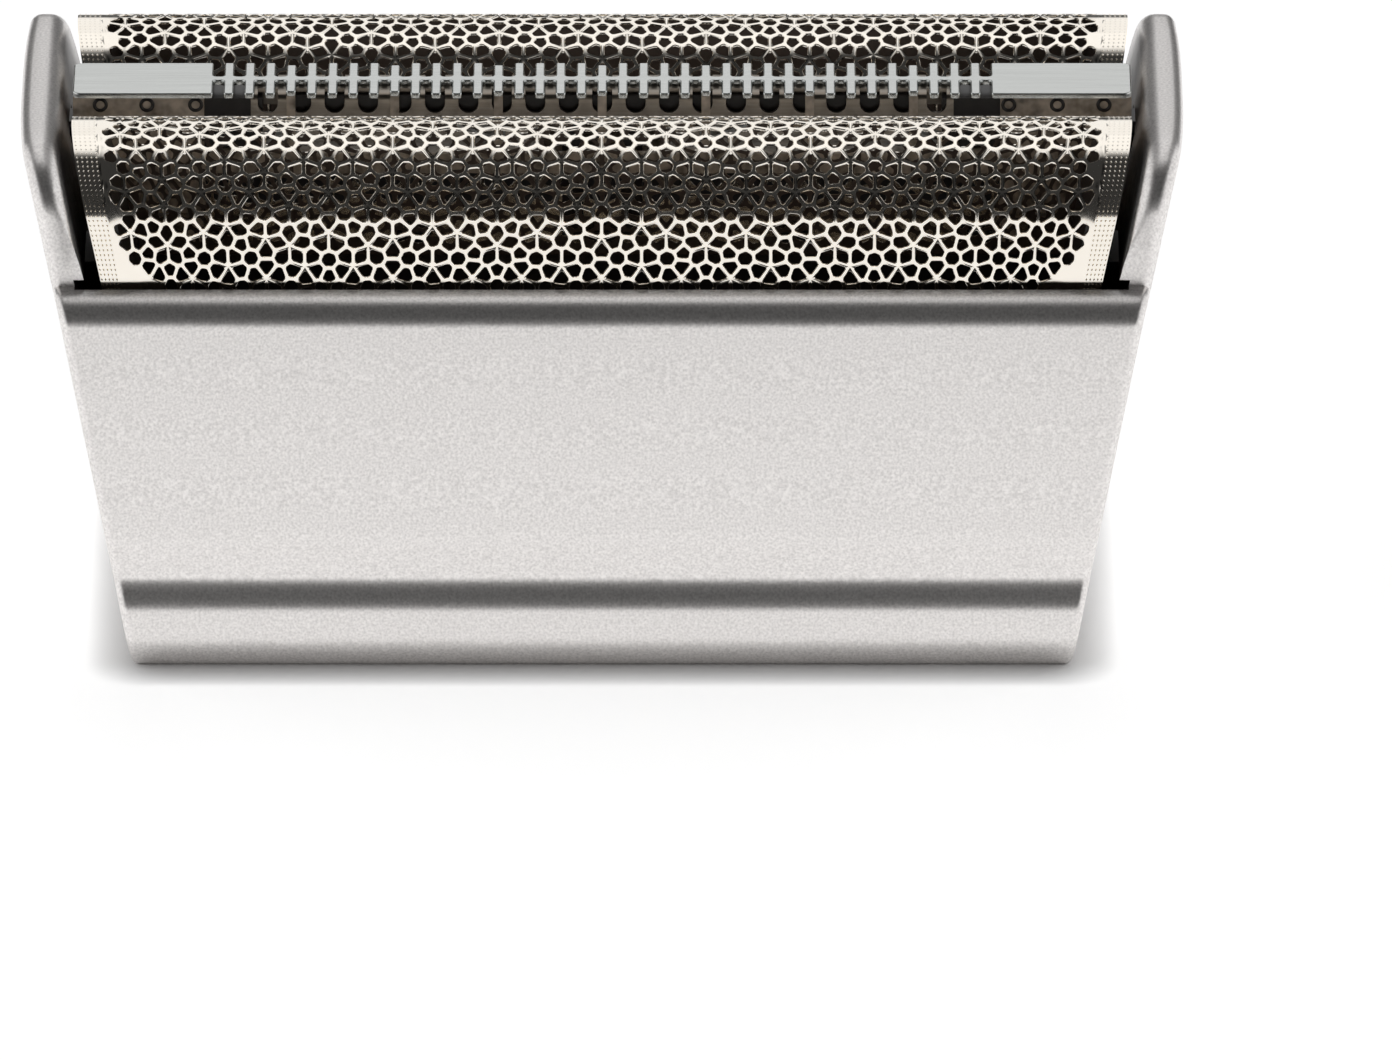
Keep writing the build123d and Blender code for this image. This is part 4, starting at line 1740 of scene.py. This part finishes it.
@dataclass
class Studio:
    """Pale floor, soft light and the camera, in metres and degrees."""

    aim: Point = (0.004432, 0.0, 0.00186)
    distance: float = 1.35
    elevation: float = 21.0
    lens: float = 734.0
    sensor: float = 36.0
    sight: float = 20.0
    floor_half: float = 3.0
    floor_front: float = 0.3
    floor_white: float = 0.9
    floor_glow: float = 0.65
    contact: float = 0.0022
    contact_power: float = 3.0
    contact_samples: int = 8
    dark_front: float = 0.035
    bright_top: float = 1.0
    grey_rear: float = 0.08
    front_from: float = 0.5  # shares of a turn: 0 behind, a quarter below, a half in front
    top_start: Flat = (0.73, 0.757)  # three quarters is straight above
    top_end: Flat = (0.95, 0.968)
    strip_share: float = 0.2
    strip_limits: Flat = (0.07, 0.16)
    side_level: float = 0.9
    side_limits: Flat = (0.48, 0.66)
    panel_power: float = 0.15
    panel_size: Flat = (1.0, 0.6)
    panel_place: Point = (0.0, 0.15, 0.85)

    def floor(self) -> None:
        """Lay the floor, which looks white, keeps the lamps' shadow and has a painted contact shadow in its glow.
        """
        half, front = self.floor_half, -self.floor_front
        corners = [(-half, front, 0.0), (half, front, 0.0), (half, half, 0.0), (-half, half, 0.0)]
        material, tree = blank_material("pale_floor")
        matt = tree.add("ShaderNodeBsdfDiffuse", {"Color": grey(self.floor_white)})
        path = tree.add("ShaderNodeLightPath")
        seen = tree.maths("MAXIMUM", path.outputs["Is Camera Ray"], path.outputs["Is Glossy Ray"])
        seen = tree.maths("MAXIMUM", seen, path.outputs["Is Transmission Ray"])
        # Painted contact shadow: the glow darkens by ambient occlusion close to the object.
        near = tree.add("ShaderNodeAmbientOcclusion", {"Distance": self.contact}, samples=self.contact_samples)
        shade = tree.maths("POWER", near.outputs["AO"], self.contact_power)
        shade = tree.maths("MULTIPLY", shade, self.floor_glow)
        glow = tree.add("ShaderNodeEmission", {"Strength": tree.maths("MULTIPLY", seen, shade)})
        both = tree.add("ShaderNodeAddShader", {0: matt.outputs["BSDF"], 1: glow.outputs["Emission"]})
        tree.add("ShaderNodeOutputMaterial", {"Surface": both.outputs["Shader"]})
        make_object("floor", corners, [[0, 1, 2, 3]], material)

    def surroundings(self) -> None:
        """Set a studio with a bright strip overhead and behind, soft boxes at both sides and a dark front."""
        world = bpy.data.worlds.new("studio")
        world.use_nodes = True
        bpy.context.scene.world = world
        tree = Tree(world.node_tree)
        place = tree.add("ShaderNodeTexCoord").outputs["Generated"]
        split = tree.add("ShaderNodeSeparateXYZ", {"Vector": place})
        front = tree.maths("MULTIPLY", split.outputs["Y"], -1.0)
        turn = tree.maths("ARCTAN2", split.outputs["Z"], front)
        share = tree.spread(turn, "From", (-math.pi, math.pi))
        ramp = tree.add("ShaderNodeValToRGB", {"Fac": share})
        stops = [
            (0.0, self.grey_rear),
            (self.front_from, self.dark_front),
            (self.top_start[0], self.dark_front),
            (self.top_start[1], self.bright_top),
            (self.top_end[0], self.bright_top),
            (self.top_end[1], self.grey_rear),
            (1.0, self.grey_rear),
        ]
        while len(ramp.color_ramp.elements) < len(stops):
            ramp.color_ramp.elements.new(self.front_from)
        for element, (position, level) in zip(ramp.color_ramp.elements, stops):
            element.position = position
            element.color = grey(level)
        across = tree.maths("ABSOLUTE", split.outputs["X"])
        limits = dict(zip(("From Min", "From Max"), self.strip_limits))
        strip = tree.add(
            "ShaderNodeMapRange", {"Value": across, **limits, "To Min": 1.0, "To Max": self.strip_share}
        )
        dim = tree.mix(1.0, ramp.outputs["Color"], strip.outputs["Result"], blend_type="MULTIPLY")
        sides = tree.spread(across, "From", self.side_limits)
        light = tree.add("ShaderNodeBackground", {"Color": tree.mix(sides, dim, grey(self.side_level))})
        tree.add("ShaderNodeOutputWorld", {"Surface": light.outputs["Background"]})

    def hang(self, data: bpy.types.ID, place: Vector, away: Vector) -> bpy.types.Object:
        """Place a lamp or a camera.

        Args:
            data: the lamp's or camera's data.
            place: where it goes.
            away: direction that it looks away from.

        Returns:
            The linked object.
        """
        thing = bpy.data.objects.new(data.name, data)
        thing.location = place
        thing.rotation_euler = (-away).to_track_quat("-Z", "Y").to_euler()
        bpy.context.scene.collection.objects.link(thing)
        return thing

    def panel(self) -> None:
        """Hang a soft panel over the object."""
        data = bpy.data.lights.new("top_panel", "AREA")
        data.energy = self.panel_power
        data.shape = "RECTANGLE"
        data.size, data.size_y = self.panel_size
        self.hang(data, Vector(self.panel_place), Vector(self.panel_place))

    def camera(self) -> None:
        """Place the camera at the photograph's viewing angle."""
        data = bpy.data.cameras.new("camera")
        data.lens = self.lens
        data.sensor_width = self.sensor
        data.clip_end = self.sight
        tilt = math.radians(self.elevation)
        away = Vector((0.0, -math.cos(tilt), math.sin(tilt))) * self.distance
        bpy.context.scene.camera = self.hang(data, Vector(self.aim) + away, away)

    def build(self) -> None:
        """Set up the stage, the light and the camera."""
        bpy.context.scene.view_settings.view_transform = "Standard"
        self.floor()
        self.surroundings()
        self.panel()
        self.camera()


def main() -> None:
    """Build the head and its stage."""
    logging.basicConfig(level=logging.INFO, format="%(message)s")
    finishes = Finishes()
    housing = FoilFrame()
    housing.build(finishes)
    offset = housing.foil_offset
    Foil("front_foil", Body.FRONT_FOIL, -offset, 1, housing).build(finishes)
    Foil("rear_foil", Body.REAR_FOIL, offset, -1, housing, shade_floor_from=1.7).build(finishes)
    Trimmer().build(finishes)
    Studio().build()


if __name__ == "__main__":
    main()
